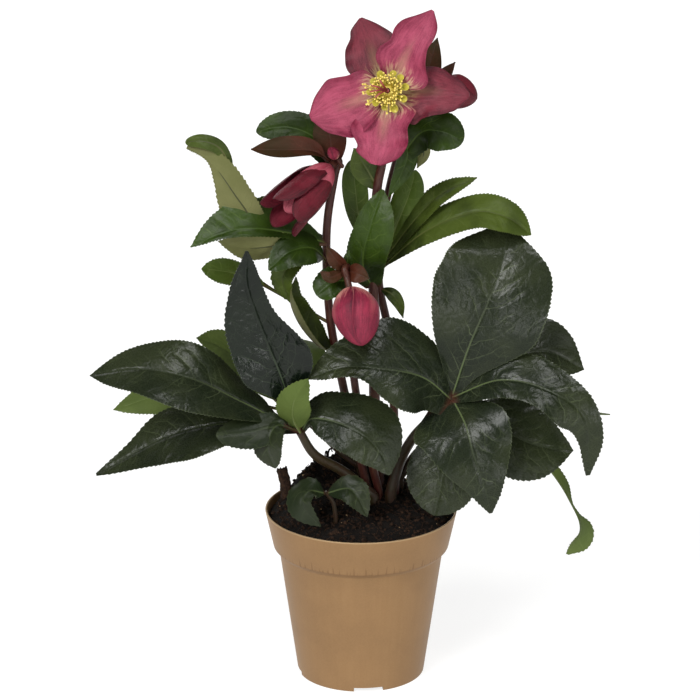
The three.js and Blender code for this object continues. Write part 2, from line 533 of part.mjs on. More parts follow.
// ---------------------------------------------------------------- pot and soil
function potOutside() {
  return [
    [FOOT_RADIUS - FOOT_CORNER, 0],
    [FOOT_RADIUS - 0.3 * FOOT_CORNER, 0.3 * FOOT_CORNER],
    [FOOT_RADIUS, FOOT_CORNER],
    [BODY_TOP.radius, BODY_TOP.z],
    [COLLAR_FOOT.radius, COLLAR_FOOT.z],
    [POT_RIM_RADIUS, POT_HEIGHT - 1],
    [POT_RIM_RADIUS - 0.5, POT_HEIGHT],
  ];
}

function potInside(wall, floor) {
  return [
    [POT_RIM_RADIUS - wall, POT_HEIGHT],
    [COLLAR_FOOT.radius - wall, COLLAR_FOOT.z],
    [BODY_TOP.radius - wall, BODY_TOP.z],
    [FOOT_RADIUS - wall, floor],
  ];
}

function pot() {
  let solid = toManifold(turned(
    [[0, 0], ...potOutside(), ...potInside(POT_WALL, POT_FLOOR), [0, POT_FLOOR], [0, 0]], ROUND_SIDES));
  for (let i = 0; i < NOTCH_COUNT; i += 1) {
    const notch = new THREE.BoxGeometry(NOTCH.width, 2 * NOTCH.depth, 2 * NOTCH.height);
    notch.translate(0, -FOOT_RADIUS, 0);
    notch.rotateZ(THREE.MathUtils.degToRad(NOTCH.turn + (360 / NOTCH_COUNT) * i));
    solid = solid.subtract(toManifold(notch));
  }
  return toGeometry(solid);
}

function soilEdgeRadius() {
  const climb = (SOIL_EDGE_Z - COLLAR_FOOT.z) / (POT_HEIGHT - COLLAR_FOOT.z);
  return COLLAR_FOOT.radius + climb * (POT_RIM_RADIUS - COLLAR_FOOT.radius) - POT_WALL - GAP;
}

// Height of the peat over the pot's foot: highest at the crown and on the mounds, in lumps, level
// at the edge.
function soilHeight(x, y) {
  const share = Math.min(1, Math.hypot(x, y) / soilEdgeRadius());
  const lumps = Math.sin(0.31 * x + 1) * Math.cos(0.27 * y) + 0.6 * Math.sin(0.53 * y + 0.41 * x);
  let height = SOIL_EDGE_Z + SOIL_RISE * (1 - share ** 2) + SOIL_LUMP * lumps * (1 - share ** 4);
  for (const { centre, spread, height: mound } of MOUNDS) {
    const away = Math.hypot(x - centre[0], y - centre[1]) / spread;
    height += mound * Math.exp(-0.5 * away ** 2) * (1 - share ** 8);
  }
  return height;
}

function holeTop([x, y]) {
  return soilHeight(x, y) + HOLE_RISE;
}

function soilBlock() {
  const wall = potInside(POT_WALL + GAP, POT_FLOOR + GAP).slice(1);
  const points = [new THREE.Vector3(0, 0, soilHeight(0, 0))];
  const addRing = (radius, heightAt) => {
    for (let j = 0; j < ROUND_SIDES; j += 1) {
      const angle = (2 * Math.PI * j) / ROUND_SIDES;
      const [x, y] = [radius * Math.sin(angle), -radius * Math.cos(angle)];
      points.push(new THREE.Vector3(x, y, heightAt(x, y)));
    }
  };
  for (let i = 1; i <= SOIL_RINGS; i += 1) {
    addRing((soilEdgeRadius() * i) / SOIL_RINGS, soilHeight);
  }
  wall.forEach(([radius, z]) => addRing(radius, () => z));
  points.push(new THREE.Vector3(0, 0, POT_FLOOR + GAP));
  const ringCount = SOIL_RINGS + wall.length;
  const at = (i, j) => 1 + i * ROUND_SIDES + (j % ROUND_SIDES);
  const triangles = [];
  for (let j = 0; j < ROUND_SIDES; j += 1) {
    triangles.push([0, at(0, j), at(0, j + 1)]);
    for (let i = 0; i < ringCount - 1; i += 1) {
      triangles.push([at(i, j), at(i + 1, j), at(i + 1, j + 1)], [at(i, j), at(i + 1, j + 1), at(i, j + 1)]);
    }
    triangles.push([points.length - 1, at(ringCount - 1, j + 1), at(ringCount - 1, j)]);
  }
  return fromTriangles(points, triangles);
}

function plantHole(foot, stalkRadius) {
  const radius = stalkRadius + HOLE_CLEARANCE;
  const height = holeTop(foot) + HOLE_SPARE - HOLE_BOTTOM + GAP;
  const hole = new THREE.CylinderGeometry(radius, radius, height, 2 * STALK_SIDES);
  hole.rotateX(Math.PI / 2);
  hole.translate(...foot, HOLE_BOTTOM - GAP + height / 2);
  return hole;
}

function soil() {
  const plants = [...Object.values(BASAL_LEAVES), ...Object.values(STEMS)];
  const stalks = plants.flatMap((plant) => plant.stalks).filter(({ foot }) => foot);
  const holes = stalks.map(({ foot, radii }) => plantHole(foot, radii[0]));
  holes.push(plantHole(STUB.foot, STUB.radius));
  return toGeometry(holes.reduce((solid, hole) => solid.subtract(toManifold(hole)), toManifold(soilBlock())));
}

// ---------------------------------------------------------------- bloom and buds
function bloomPetals() {
  const petals = BLOOM_PETALS.map((petal) => blade({
    face: [[0, 0, 1]], tooth: 0, midrib: 0.4, ...petal,
  }));
  const { foot, radius, middle, top } = RECEPTACLE;
  const receptacle = turned([[0, 0], [foot, 0], [radius, middle], [radius, top], [0, top], [0, 0]], 12);
  return placeOn(BLOOM, join([receptacle, ...petals]));
}

function nectaries() {
  const base = RECEPTACLE.top + GAP;
  const ring = turned([[5.2, base], [7.6, base], [7.6, base + 1.4], [5.2, base + 1.4], [5.2, base]], 12);
  const cups = [];
  for (let i = 0; i < NECTARY_COUNT; i += 1) {
    const cup = turned([[0, 0], [0.8, 0], [2, 6], [0, 5], [0, 0]], 4);
    cup.rotateY(THREE.MathUtils.degToRad(55));
    cup.translate(6.4, 0, base + 0.9);
    cup.rotateZ((2 * Math.PI * i) / NECTARY_COUNT);
    cups.push(cup);
  }
  return placeOn(BLOOM, join([ring, ...cups]));
}

function stamens() {
  const base = RECEPTACLE.top + GAP;
  const core = turned([[1.9, base], [4.8, base], [4.4, base + 2.5], [2.4, base + 4], [1.9, base + 4],
    [1.9, base]], 12);
  const needles = [];
  for (let i = 0; i < STAMEN_COUNT; i += 1) {
    const share = (i + 0.5) / STAMEN_COUNT;
    const length = 12 - 2.5 * share + Math.sin(7 * i);
    const needle = turned([[0, 0], [0.45, 0], [0.35, length - 2], [1, length - 1], [0, length], [0, 0]], 3);
    needle.rotateY(THREE.MathUtils.degToRad(12 + 34 * share));
    needle.translate(2.8 + 1.2 * share, 0, base + 0.8);
    needle.rotateZ(TURN_STEP * i);
    needles.push(needle);
  }
  return placeOn(BLOOM, join([core, ...needles]));
}

function styles() {
  const base = RECEPTACLE.top + GAP;
  const foot = turned([[0, base], [1.4, base], [1.4, base + 6], [0, base + 6], [0, base]], 6);
  const tips = [[-9, 3], [-10, -1], [-7, -5], [-3, 6]];
  const threads = tips.map(([x, y]) => taperedTube(smoothPath(
    [[0.05 * x, 0.05 * y, base + 2], [0.1 * x, 0.1 * y, base + 8], [0.5 * x, 0.5 * y, base + 15],
      [x, y, base + 15.5]]), [0.7, 0.5], 4));
  return placeOn(BLOOM, join([foot, ...threads]));
}

// The closed petals of a bud: one body whose surface steps out where a petal's edge lies over the
// next one, along edges that wind round it a little.
function closedPetals(length, radius, petals) {
  const sides = petals * SIDES_PER_PETAL;
  const points = [new THREE.Vector3(0, 0, 0)];
  BUD_PROFILE.forEach(([share, height]) => {
    for (let j = 0; j < sides; j += 1) {
      const fall = (j % SIDES_PER_PETAL) / (SIDES_PER_PETAL - 1);
      const reach = radius * share * (1 - BUD_OVERLAP * fall);
      const angle = (2 * Math.PI * j) / sides + 2 * Math.PI * BUD_TWIST * height;
      points.push(new THREE.Vector3(reach * Math.cos(angle), reach * Math.sin(angle), height * length));
    }
  });
  points.push(new THREE.Vector3(0, 0, length));
  const at = (i, j) => 1 + i * sides + (j % sides);
  const top = BUD_PROFILE.length - 1;
  const triangles = [];
  for (let j = 0; j < sides; j += 1) {
    triangles.push([0, at(0, j + 1), at(0, j)], [points.length - 1, at(top, j), at(top, j + 1)]);
    for (let i = 0; i < top; i += 1) {
      triangles.push([at(i, j), at(i, j + 1), at(i + 1, j + 1)], [at(i, j), at(i + 1, j + 1), at(i + 1, j)]);
    }
  }
  return fromTriangles(points, triangles);
}

function loosePetal(length, radius, angle) {
  const [x, y] = [radius * Math.cos(angle), radius * Math.sin(angle)];
  return blade({
    rib: LOOSE_WAYS.map(([out, height]) => [x * out, y * out, height * length]),
    face: [[Math.cos(angle + LOOSE_TURN), Math.sin(angle + LOOSE_TURN), 0]],
    width: LOOSE_WIDTH * radius, belly: [0.6, 0.45], curl: -60, tooth: 0, cells: 5, midrib: 0.3,
  });
}

function bud(shape) {
  const { base, tip, radius, petals, loose } = shape;
  const length = toVector(base).distanceTo(toVector(tip));
  const pieces = [closedPetals(length * (loose ? 0.9 : 1), radius, petals)];
  for (let i = 0; i < loose; i += 1) {
    pieces.push(loosePetal(length, radius, (2 * Math.PI * (i + 0.5)) / loose));
  }
  return placeOn(shape, join(pieces));
}

// ---------------------------------------------------------------- assembly
const group = new THREE.Group();

function addMesh(name, geometry, material) {
  const mesh = new THREE.Mesh(geometry, material);
  mesh.name = name;
  group.add(mesh);
}

addMesh('pot', pot(), MATERIALS.gold);
addMesh('soil', soil(), MATERIALS.peat);
addMesh('old_stalk', stub(), MATERIALS.bark);
for (const [name, leaf] of Object.entries(BASAL_LEAVES)) {
  addMesh(name, leafyStalks(leaf), MATERIALS.leaf);
}
for (const [name, stem] of Object.entries(STEMS)) {
  addMesh(name, leafyStalks(stem), MATERIALS.fresh);
}
addMesh('bloom_petals', bloomPetals(), MATERIALS.petal);
addMesh('bloom_nectaries', nectaries(), MATERIALS.nectary);
addMesh('bloom_stamens', stamens(), MATERIALS.stamen);
addMesh('bloom_styles', styles(), MATERIALS.style);
addMesh('bud_left', bud(BUD_LEFT), MATERIALS.petal);
addMesh('bud_centre', bud(BUD_CENTRE), MATERIALS.petal);
addMesh('bud_right', bud(BUD_RIGHT), MATERIALS.petal);
addMesh('bud_small', bud(BUD_SMALL), MATERIALS.petal);

export default group;
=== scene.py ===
"""The looks of a potted hellebore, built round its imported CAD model.

Points and sizes are in millimetres, in the CAD model's own frame, until Piece.build turns them into
metres. The tables of leaves, stems, petals and buds are those of the part's source, with the finish
of each blade added, and each fine piece follows the rule of the plain solid that it stands for.
"""
import itertools
import math

import bpy
import numpy as np
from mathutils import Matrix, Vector, noise


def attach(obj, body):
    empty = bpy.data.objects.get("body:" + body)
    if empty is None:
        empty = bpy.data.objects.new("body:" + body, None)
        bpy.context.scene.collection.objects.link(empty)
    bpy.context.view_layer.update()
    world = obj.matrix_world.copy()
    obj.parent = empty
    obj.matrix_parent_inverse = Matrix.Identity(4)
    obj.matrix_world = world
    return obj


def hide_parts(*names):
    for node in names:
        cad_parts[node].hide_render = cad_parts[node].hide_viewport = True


MM = 0.001
UP = np.array([0, 0, 1.0])

# ---------------------------------------------------------------- camera and light
CAMERA_AIM = (-7.5, 0, 230)
CAMERA_DISTANCE = 2600
CAMERA_ELEVATION = 18.9
CAMERA_LENS = 200.1
CAMERA_SENSOR = 36
FLOOR_SIZE = 40000
WORLD_STRENGTH = 0.12
FLOOR_GLOW = 0.82
# Each soft light: the direction that it comes from, how wide it looks in degrees, and its strength.
SOFT_LIGHTS = [
    dict(way=(-0.55, -0.85, 0.75), width=26, strength=2.2),
    dict(way=(0.18, -0.38, 0.9), width=20, strength=1.0),
    dict(way=(0.8, -0.8, 0.35), width=40, strength=0.5),
    dict(way=(-0.25, -1.0, 0.08), width=14, strength=0.35),
    dict(way=(0.5, -0.88, 0.06), width=14, strength=0.35),
    dict(way=(-0.4, 0.9, 0.3), width=50, strength=0.9),
]

# ---------------------------------------------------------------- pot and peat
POT_RIM_RADIUS = 65
POT_HEIGHT = 117
POT_WALL = 1.4
POT_FLOOR = 2.8
COLLAR_FOOT = dict(radius=59.4, z=91.5)
BODY_TOP = dict(radius=55.5, z=88)
FOOT_RADIUS = 43
NOTCH = dict(width=20, height=3, depth=8, turn=7)
NOTCH_COUNT = 4
POT_SIDES = 160
WALL_STEP = 4
POT_ROUNDING = 0.7
ROUNDING_STEPS = 4
POT_SHARP = 35

SOIL_EDGE_Z = 112.5
SOIL_RISE = 10
SOIL_LUMP = 1.5
SOIL_GAP = 0.3
SOIL_RINGS = 56
CRUMBS = dict(count=1500, size=1.9)
SPECKS = dict(count=60, size=0.9)
MOUNDS = [
    dict(centre=(-32, 36), spread=18, height=22),
    dict(centre=(5, 38), spread=16, height=22),
]
PEAT_GRAIN = dict(scale=0.22, height=1.3, edge_drop=0.6)
LUMP_REACH = 2.1  # just over the distance of a lump's neighbouring corners
FIBRES = dict(count=150, radii=(0.22, 0.1), steps=6, reach=0.94)
ROOTS = dict(count=9, radii=(0.9, 0.4), x=(-23, -7), y=(30, 38), reach=(2, 7), height=(3, 8))
HOLE_BOTTOM = 104
HOLE_RISE = 4
STRAIGHT_END = 7
STALK_GAP = 0.3
STALK_SIDES = 16
STUB = dict(foot=[-51, 16], lean=[-3, 2], radius=4.4, top=140, rows=24, sides=20)

# ---------------------------------------------------------------- blades
BLADE_THICKNESS = 0.8
MARGIN_THINNING = 0.6
TOOTH_SPACING = 2.7
TOOTH_REACH = 0.9
TOOTHED_WIDTH = 15
ROWS_PER_TOOTH = ((0, 0), (0.4, 0.55), (0.78, 1))
COLUMNS = [0.1, 0.22, 0.36, 0.5, 0.64, 0.77, 0.9, 1]
RIB_PROUD = 0.08
RIB_END = 0.94
RIB_SIDES = 8
BLADE_DEFAULTS = dict(
    face=[[0, 0, 1]], belly=[0.9, 1], neck=0, root=1.2, skew=0, fold=0, curl=0, wave=0, crumple=0.5,
    rib_radius=0.8,
)

# ---------------------------------------------------------------- bloom and buds
BLOOM = dict(base=[18, -15, 412], tip=[14, -43, 423])
BUD_LEFT = dict(base=[-20, -12, 361], tip=[-53, -46, 337], radius=12, petals=3, loose=5)
BUD_CENTRE = dict(base=[-8, -28, 283], tip=[1, -50, 250], radius=16.5, petals=3, loose=0)
BUD_RIGHT = dict(base=[51, 13, 409], tip=[76, 6, 402], radius=12, petals=4, loose=0)
BUD_SMALL = dict(base=[-16, -14, 367], tip=[-21, -16, 375], radius=4, petals=3, loose=0)
BUD_PROFILE = [
    [0, 0], [0.3, 0.02], [0.72, 0.14], [0.97, 0.32], [1, 0.46], [0.88, 0.65], [0.62, 0.83], [0.3, 0.95],
    [0, 1],
]
BUD_OVERLAP = 0.12
BUD_TWIST = 0.12
BUD_ROWS = 44
BUD_PETAL_SIDES = 28
BUD_FALL, BUD_CLIMB = 0.93, 0.07  # shares of a petal's width where it sinks and where it steps out
CLOSED_SHARE = 0.9  # how long closed petals are where loose ones stand round them
LOOSE_PETAL = dict(belly=[0.6, 0.45], curl=-60)
LOOSE_WIDTH = 2
LOOSE_WAYS = [(0.2, 0.05), (0.95, 0.3), (1.25, 0.65), (1.4, 1)]
LOOSE_TURN = 0.2
BLOOM_PETALS = [
    dict(rib=[[3, 5, 3], [16, 25, 8], [34, 49, 9]], left=[7, 12, 17, 18, 14.5, 15, 13, 7, 1],
         right=[9, 20, 22, 18, 14.5, 11, 11, 9, 1], fold=12, curl=6, wave=3),
    dict(rib=[[-3, 6, 2], [-9, 29, 0], [-14, 50, 3]], left=[7, 12, 18, 19.5, 18.5, 16, 11, 8.5, 1],
         right=[7, 12, 15, 16.5, 17, 16.5, 12.5, 7.5, 1], fold=8, curl=4, wave=2),
    dict(rib=[[-5, 0, 3], [-28, -5, 6], [-52, -12, 8]], left=[8, 14, 19, 22, 23.5, 22.5, 18.5, 13, 2],
         right=[9, 17, 18, 17, 17.5, 18.5, 15, 10, 2], fold=6, curl=8, wave=2),
    dict(rib=[[-1, -5, 3], [-6, -27, 5], [-12, -47, 9]], left=[9, 20, 19, 16, 17, 18, 17, 13, 4],
         right=[8, 13, 17, 20, 21, 19, 15, 14, 4], fold=8, curl=8, wave=3),
    dict(rib=[[5, 1, 2], [28, -2, -1], [52, -8, 3]], left=[7, 11, 14, 15.5, 16.3, 15, 11.5, 8.5, 2],
         right=[9, 20, 23.5, 19.5, 17.8, 16, 13.5, 10.5, 2], fold=12, curl=4, wave=2),
]
BLOOM_FINISHES = ["petal", "petal_dull", "petal", "petal", "petal_dull"]
BLOOM_CRUMPLE = 1.1
RECEPTACLE = [[0.01, 0], [3, 0], [8, 3], [8, 5], [7, 6], [0.01, 6]]
FLOWER_FLOOR = 6.3  # just above the receptacle's top, where what stands on it starts
NECTARY_COUNT = 10
NECTARY_RING = [[5.2, 0], [7.6, 0], [7.6, 1.4], [5.2, 1.4], [5.2, 0]]
NECTARY_CUP = [
    [0.5, 0], [0.85, 1], [1.2, 2.6], [1.6, 4.2], [2.1, 5.6], [2.25, 6.1], [2, 6.2], [1.5, 5], [1, 3.4],
    [0.01, 2.6],
]
NECTARY = dict(height=6, tilt=55, out=6.4, up=0.9, sides=14)
STAMEN_COUNT = 80
STAMEN_CORE = [[1.9, 0], [4.8, 0], [4.4, 2.5], [2.4, 4], [1.9, 4], [1.9, 0]]
STAMEN = dict(
    length=12, shorter=2.5, tilt=12, spread=34, out=2.8, further=1.2, up=0.8, turn_step=2.4, steps=7,
    radii=(0.28, 0.2),
)
LONG_STAMEN = dict(count=12, side=(150, 290), length=(11, 14), tilt=(54, 70))
ANTHER = dict(half=0.75, radii=[0.3, 0.62, 0.72, 0.7, 0.58, 0.28])
STYLE_CORE = [[0.01, 0], [1.4, 0], [1.4, 6], [0.01, 6]]
STYLE_TIPS = [[-9, 3], [-10, -1], [-7, -5], [-3, 6]]
STYLE_RADII = (0.7, 0.5)
STYLE_WAY = [(0.05, 2), (0.1, 8), (0.5, 15), (1, 15.5)]  # shares of the way out, and heights

# ---------------------------------------------------------------- leaves and stems
# In each list a part with radii is a stalk, and any other is a blade. The stalks come first.
LEAF_LEFT = [
    dict(foot=[8, -4], points=[[-12, -10, 147], [-31, -18, 162], [-41, -22, 180]], radii=[4, 2.8]),
    dict(rib=[[-42, -22, 181], [-78, -32, 204], [-112, -38, 223], [-146, -36, 229], [-180, -26, 221]],
         face=[[0.1, -0.6, 0.8]], width=51, belly=[1.1, 1], neck=0.06, fold=10, curl=-14, wave=2),
    # This blade takes the deep finish, whose colours are painted shade.
    dict(rib=[[-41, -23, 181], [-54, -30, 224], [-63, -32, 248], [-75, -34, 285], [-75, -34, 310]],
         face=[[-0.1, -0.95, 0.1]], left=[2, 5, 22, 25, 25, 22, 12, 5, 1],
         right=[2, 5, 24, 28, 25, 14, 11, 8, 1], fold=20, wave=2, finish="deep"),
    dict(rib=[[-43, -21, 180], [-72, -16, 183], [-101, -10, 180], [-134, -4, 168], [-179, 0, 141]],
         face=[[-0.1, -0.6, 0.75]], left=[2, 6, 13, 17, 21, 25, 22, 12, 1],
         right=[2, 8, 14, 16, 17, 20, 20, 8, 1], fold=12, curl=-12, wave=2),
    dict(rib=[[-42, -23, 180], [-54, -34, 189], [-74, -42, 187], [-96, -46, 186]], face=[[-0.3, -0.8, 0.5]],
         width=23, belly=[0.6, 0.6], neck=0.2, curl=-10, finish="sage"),
    dict(rib=[[-40, -23, 180], [-56, -38, 190], [-62, -44, 177], [-57, -44, 162]], face=[[-0.6, -0.7, 0.4]],
         width=24, belly=[0.8, 0.8], neck=0.2, fold=6, curl=-10, finish="sage"),
    dict(rib=[[-40, -22, 179], [-45, -34, 194], [-44, -40, 209], [-35, -41, 224]], face=[[0.2, 0.9, 0.3]],
         width=23, belly=[0.7, 0.9], neck=0.1, fold=10, finish="pale"),
    dict(rib=[[-40, -22, 180], [-33, -30, 192], [-17, -36, 192], [1, -41, 185], [13, -44, 173],
         [19, -45, 158]], face=[[0.1, -0.75, 0.65]], left=[2, 8, 19, 23, 27, 28, 23, 12, 1],
         right=[2, 4, 10, 15, 18, 17, 15, 10, 1], curl=-12, wave=1),
]
LEAF_RIGHT = [
    dict(foot=[20, 0], points=[[26, 0, 150], [35, -6, 170], [47, -12, 186], [61, -18, 203]],
         radii=[4, 2.8]),
    dict(rib=[[60, -18, 202], [71, -24, 240], [84, -22, 272], [93, -14, 296], [97, 0, 315]],
         face=[[-0.1, -0.95, 0.25]], left=[2, 12, 24, 34, 39, 38, 36, 30, 10],
         right=[2, 11, 27, 38.5, 40, 38, 33, 18, 4], fold=8, curl=-14, wave=2),
    dict(rib=[[60, -19, 203], [92, -32, 220], [124, -42, 216], [148, -46, 197], [150, -44, 157]],
         face=[[-0.1, -0.7, 0.7], [0.2, -0.8, 0.5]], left=[8, 13, 15, 20, 18, 14, 10, 9, 2],
         right=[4, 10, 12, 13, 15, 18, 14, 6, 1], fold=8, curl=-14, wave=2),
    dict(rib=[[61, -20, 202], [69, -40, 191], [74, -50, 174], [81, -54, 154], [86, -54, 134]],
         face=[[-0.1, -0.85, 0.5]], left=[8, 17, 27, 28, 26, 21, 14, 8, 1],
         right=[18, 33, 35, 31, 25, 19, 13, 7, 1], fold=8, curl=-12, wave=2),
    dict(rib=[[60, -20, 202], [41, -30, 221], [16, -36, 229], [-11, -38, 231], [-35, -34, 222]],
         face=[[0, -0.75, 0.65]], left=[13, 18, 26, 27, 20, 10, 7, 5, 1],
         right=[8, 17, 28, 35, 36, 30, 21, 12, 1], fold=6, curl=-12, wave=2),
    dict(rib=[[61, -16, 204], [93, -1, 221], [123, 9, 226], [150, 12, 212]], face=[[0.1, -0.7, 0.6]],
         width=52, neck=0.1, fold=8, curl=-10, wave=1),
    dict(rib=[[62, -17, 201], [89, -18, 183], [116, -20, 170], [142, -18, 165]], face=[[0.1, -0.8, 0.5]],
         width=56, neck=0.1, fold=6, curl=-10, wave=1),
    dict(rib=[[60, -16, 201], [58, -18, 176], [54, -26, 148], [49, -30, 123]], face=[[-0.2, -0.9, 0.3]],
         width=48, belly=[0.9, 0.7], neck=0.2, fold=8, curl=-8, wave=1),
]
LEAF_SMALL = [
    dict(foot=[-17, -32], points=[[-19, -33, 134], [-24, -35, 142]], radii=[1.6, 1.3]),
    dict(rib=[[-24, -35, 141], [-35, -42, 145], [-39, -48, 137], [-27, -50, 123]], face=[[-0.6, -0.6, 0.5]],
         width=21, skew=0.25, fold=8, curl=-10),
    dict(rib=[[-23, -35, 141], [-9, -42, 147], [-2, -47, 142], [4, -50, 130]], face=[[0.2, -0.7, 0.6]],
         width=20, fold=12, curl=-8),
]
LEAF_BACK_LEFT = [
    dict(foot=[0, 20], points=[[-14, 21, 150], [-32, 21, 168], [-51, 20, 181]], radii=[3.2, 2.2]),
    dict(rib=[[-51, 20, 180], [-89, 40, 181], [-132, 44, 183], [-169, 38, 174]], face=[[0, -0.5, 0.85]],
         width=40, neck=0.1, curl=-10, wave=1),
    dict(rib=[[-51, 20, 181], [-72, 26, 200], [-92, 28, 221], [-111, 26, 230]], face=[[0.5, -0.3, 0.7]],
         width=40, neck=0.1, fold=12, curl=-10, wave=1),
    dict(rib=[[-51, 20, 181], [-72, 48, 194], [-96, 76, 196], [-118, 98, 184]], face=[[0, 0.4, 0.9]],
         width=46, neck=0.1, fold=10, curl=-12, wave=2),
    dict(rib=[[-50, 21, 182], [-48, 46, 204], [-46, 74, 212], [-46, 100, 202]], face=[[0.2, 0.4, 0.9]],
         width=44, neck=0.1, fold=10, curl=-12, wave=2),
]
LEAF_BACK_RIGHT = [
    dict(foot=[26, 24], points=[[40, 24, 150], [62, 21, 164], [88, 18, 167], [108, 16, 166]],
         radii=[3.2, 2]),
    dict(rib=[[107, 16, 166], [130, 14, 138], [142, 11, 119], [150, 8, 98], [141, 10, 79]],
         face=[[0.3, 0.9, 0.3], [0.9, 0.2, 0.3], [0.3, -0.9, 0.2]], left=[1, 1, 1.5, 2, 2, 4, 12, 10, 1],
         right=[1, 4, 8, 9, 5, 2, 3, 3, 1], fold=10),
    dict(rib=[[107, 16, 166], [134, 16, 178], [168, 10, 181]], face=[[0, 0.3, 0.9]], width=26, neck=0.1,
         fold=12, curl=-8),
    dict(rib=[[106, 17, 167], [124, 44, 176], [136, 74, 172], [140, 98, 158]], face=[[0, 0.3, 0.9]],
         width=44, neck=0.1, fold=10, curl=-12, wave=2),
    dict(rib=[[105, 17, 167], [100, 44, 190], [92, 72, 198], [84, 100, 190]], face=[[0, 0.3, 0.9]],
         width=46, neck=0.1, fold=10, curl=-12, wave=2),
]
STEM_LEFT = [
    dict(foot=[4, 8], points=[[-5, 3, 172], [-12, 0, 204], [-21, -2, 255], [-23, -4, 312], [-18, -5, 351],
         [-15, -7, 362]], radii=[3, 2.6], bears=BUD_LEFT),
    dict(points=[[-17, -6, 354], [-14, -8, 360]], radii=[1.3, 1.3], bears=BUD_SMALL),
    dict(rib=[[-23, -4, 306], [-37, -8, 315], [-66, -16, 322], [-79, -20, 339], [-93, -20, 360],
         [-104, -16, 370], [-114, -12, 374]], face=[[0.3, 0.9, 0], [0.3, 0.9, -0.2], [0.2, 0.9, 0]],
         left=[1.5, 1.5, 2.5, 8, 10, 10.5, 8.5, 6, 3], right=[1.5, 1.5, 1.5, 6, 15, 8, 1.5, 1, 1], fold=8),
    dict(rib=[[-85, -18, 363], [-93, -19, 376], [-104, -18, 380], [-115, -14, 378]], face=[[0, -0.9, 0.3]],
         width=10, belly=[0.4, 0.4], curl=-20),
    dict(rib=[[-23, -6, 307], [-50, -18, 318], [-73, -26, 323], [-92, -28, 320], [-112, -26, 310]],
         face=[[0, -0.8, 0.6]], width=26, skew=0.6, wave=1, finish="bright"),
    dict(rib=[[-22, -3, 308], [-41, 2, 317], [-57, 6, 326], [-70, 8, 333]], face=[[0, -0.8, 0.6]], width=22,
         neck=0.2, fold=6),
    dict(rib=[[-23, -6, 306], [-50, -16, 309], [-73, -20, 308], [-94, -22, 313]], face=[[0, 0.9, 0.3]],
         width=22, neck=0.15, fold=6, wave=1),
    dict(rib=[[-21, -3, 250], [-51, 4, 266], [-71, 4, 278], [-88, 2, 284], [-106, 0, 287]],
         face=[[0.2, -0.7, 0.6]], width=19, belly=[1.2, 0.8], neck=0.4, fold=8, curl=-10, wave=1,
         finish="lime"),
    dict(rib=[[-22, -4, 293], [-32, -18, 307], [-47, -26, 307], [-61, -28, 295]], face=[[0, -0.7, 0.7]],
         width=26, belly=[0.7, 0.8], neck=0.1, fold=8, curl=-14, wave=1, finish="bright"),
    dict(rib=[[-22, -4, 296], [-40, -10, 298], [-52, -14, 286], [-47, -14, 268]], face=[[-0.3, -0.8, 0.3]],
         width=16, neck=0.2, fold=10),
    dict(rib=[[-18, -2, 230], [-29, -10, 238], [-41, -16, 255], [-47, -12, 271], [-43, -6, 283]],
         face=[[0.8, -0.2, 0.5]], width=28, fold=30, curl=10),
    dict(rib=[[-18, -5, 357], [-30, 2, 376], [-49, 2, 384], [-69, -2, 382]], face=[[0, -0.8, 0.6]],
         width=24, belly=[0.6, 0.6], fold=6, curl=-10, tooth=0.5, finish="bright"),
    dict(rib=[[-17, -6, 358], [-30, -12, 371], [-52, -18, 374], [-72, -20, 375]], face=[[0, -0.5, 0.9],
         [0, -0.8, 0.4]], width=19, tooth=0, neck=0.2, fold=30, curl=10, finish="brown"),
    dict(rib=[[-18, -4, 357], [-21, -2, 380], [-26, -2, 397]], face=[[0, -1, 0]], width=22, tooth=0,
         fold=10, finish="brown"),
]
STEM_CENTRE = [
    dict(foot=[12, 4], points=[[2, -6, 172], [-4, -10, 207], [-8, -12, 247], [-9, -12, 279], [-9, -16, 293],
         [-11, -23, 294]], radii=[2.8, 2.2], bears=BUD_CENTRE),
    dict(rib=[[-9, -13, 283], [-19, -20, 284], [-30, -22, 276]], face=[[0, -0.8, 0.5]], width=20,
         belly=[0.7, 0.5], fold=10, curl=-10, wave=2, finish="bright"),
    dict(rib=[[-10, -18, 293], [-17, -24, 301], [-23, -24, 310]], face=[[0, -1, 0]], width=11, fold=20,
         curl=10, finish="brown"),
    dict(rib=[[-10, -18, 292], [-20, -28, 290], [-27, -28, 294]], face=[[0, -0.9, 0.4]], width=8, fold=10,
         finish="brown"),
    dict(rib=[[-9, -18, 292], [-3, -26, 292], [5, -28, 289]], face=[[0, -1, 0.2]], width=13, fold=10,
         finish="brown"),
    dict(rib=[[-9, -16, 293], [-9, -20, 300], [-8, -20, 306]], face=[[0, -1, 0.2]], width=6, fold=10,
         finish="bright"),
]
STEM_MAIN = [
    dict(foot=[12, 16], points=[[9, 11, 191], [9, 8, 241], [8, 6, 284], [10, 3, 337], [14, 3, 361],
         [18, 0, 394]], radii=[4, 2.4], bears=BLOOM),
    dict(rib=[[7, 6, 272], [1, -5, 294], [6, -9, 320], [14, -4, 343]], face=[[-0.2, -0.95, 0.2]],
         left=[4, 8, 10, 11, 11, 10, 9, 6, 1], right=[6, 11, 14, 16, 17, 17, 15, 10, 1], tooth=0.6, fold=12,
         curl=-10, finish="bright"),
    dict(rib=[[9, 5, 290], [-1, 9, 318], [-4, 10, 340], [-6, 8, 360]], face=[[-0.3, -0.9, 0.3]], width=18,
         belly=[1, 0.6], tooth=0, fold=8, finish="lime"),
    dict(rib=[[9, 5, 308], [-4, 12, 323], [-11, 13, 331]], face=[[0, 0.9, 0.4]], width=9, fold=8),
    dict(rib=[[12, 3, 340], [2, 2, 358], [-5, 0, 370]], face=[[0, -0.9, 0.4]], width=20, tooth=0, fold=10,
         curl=-10),
]
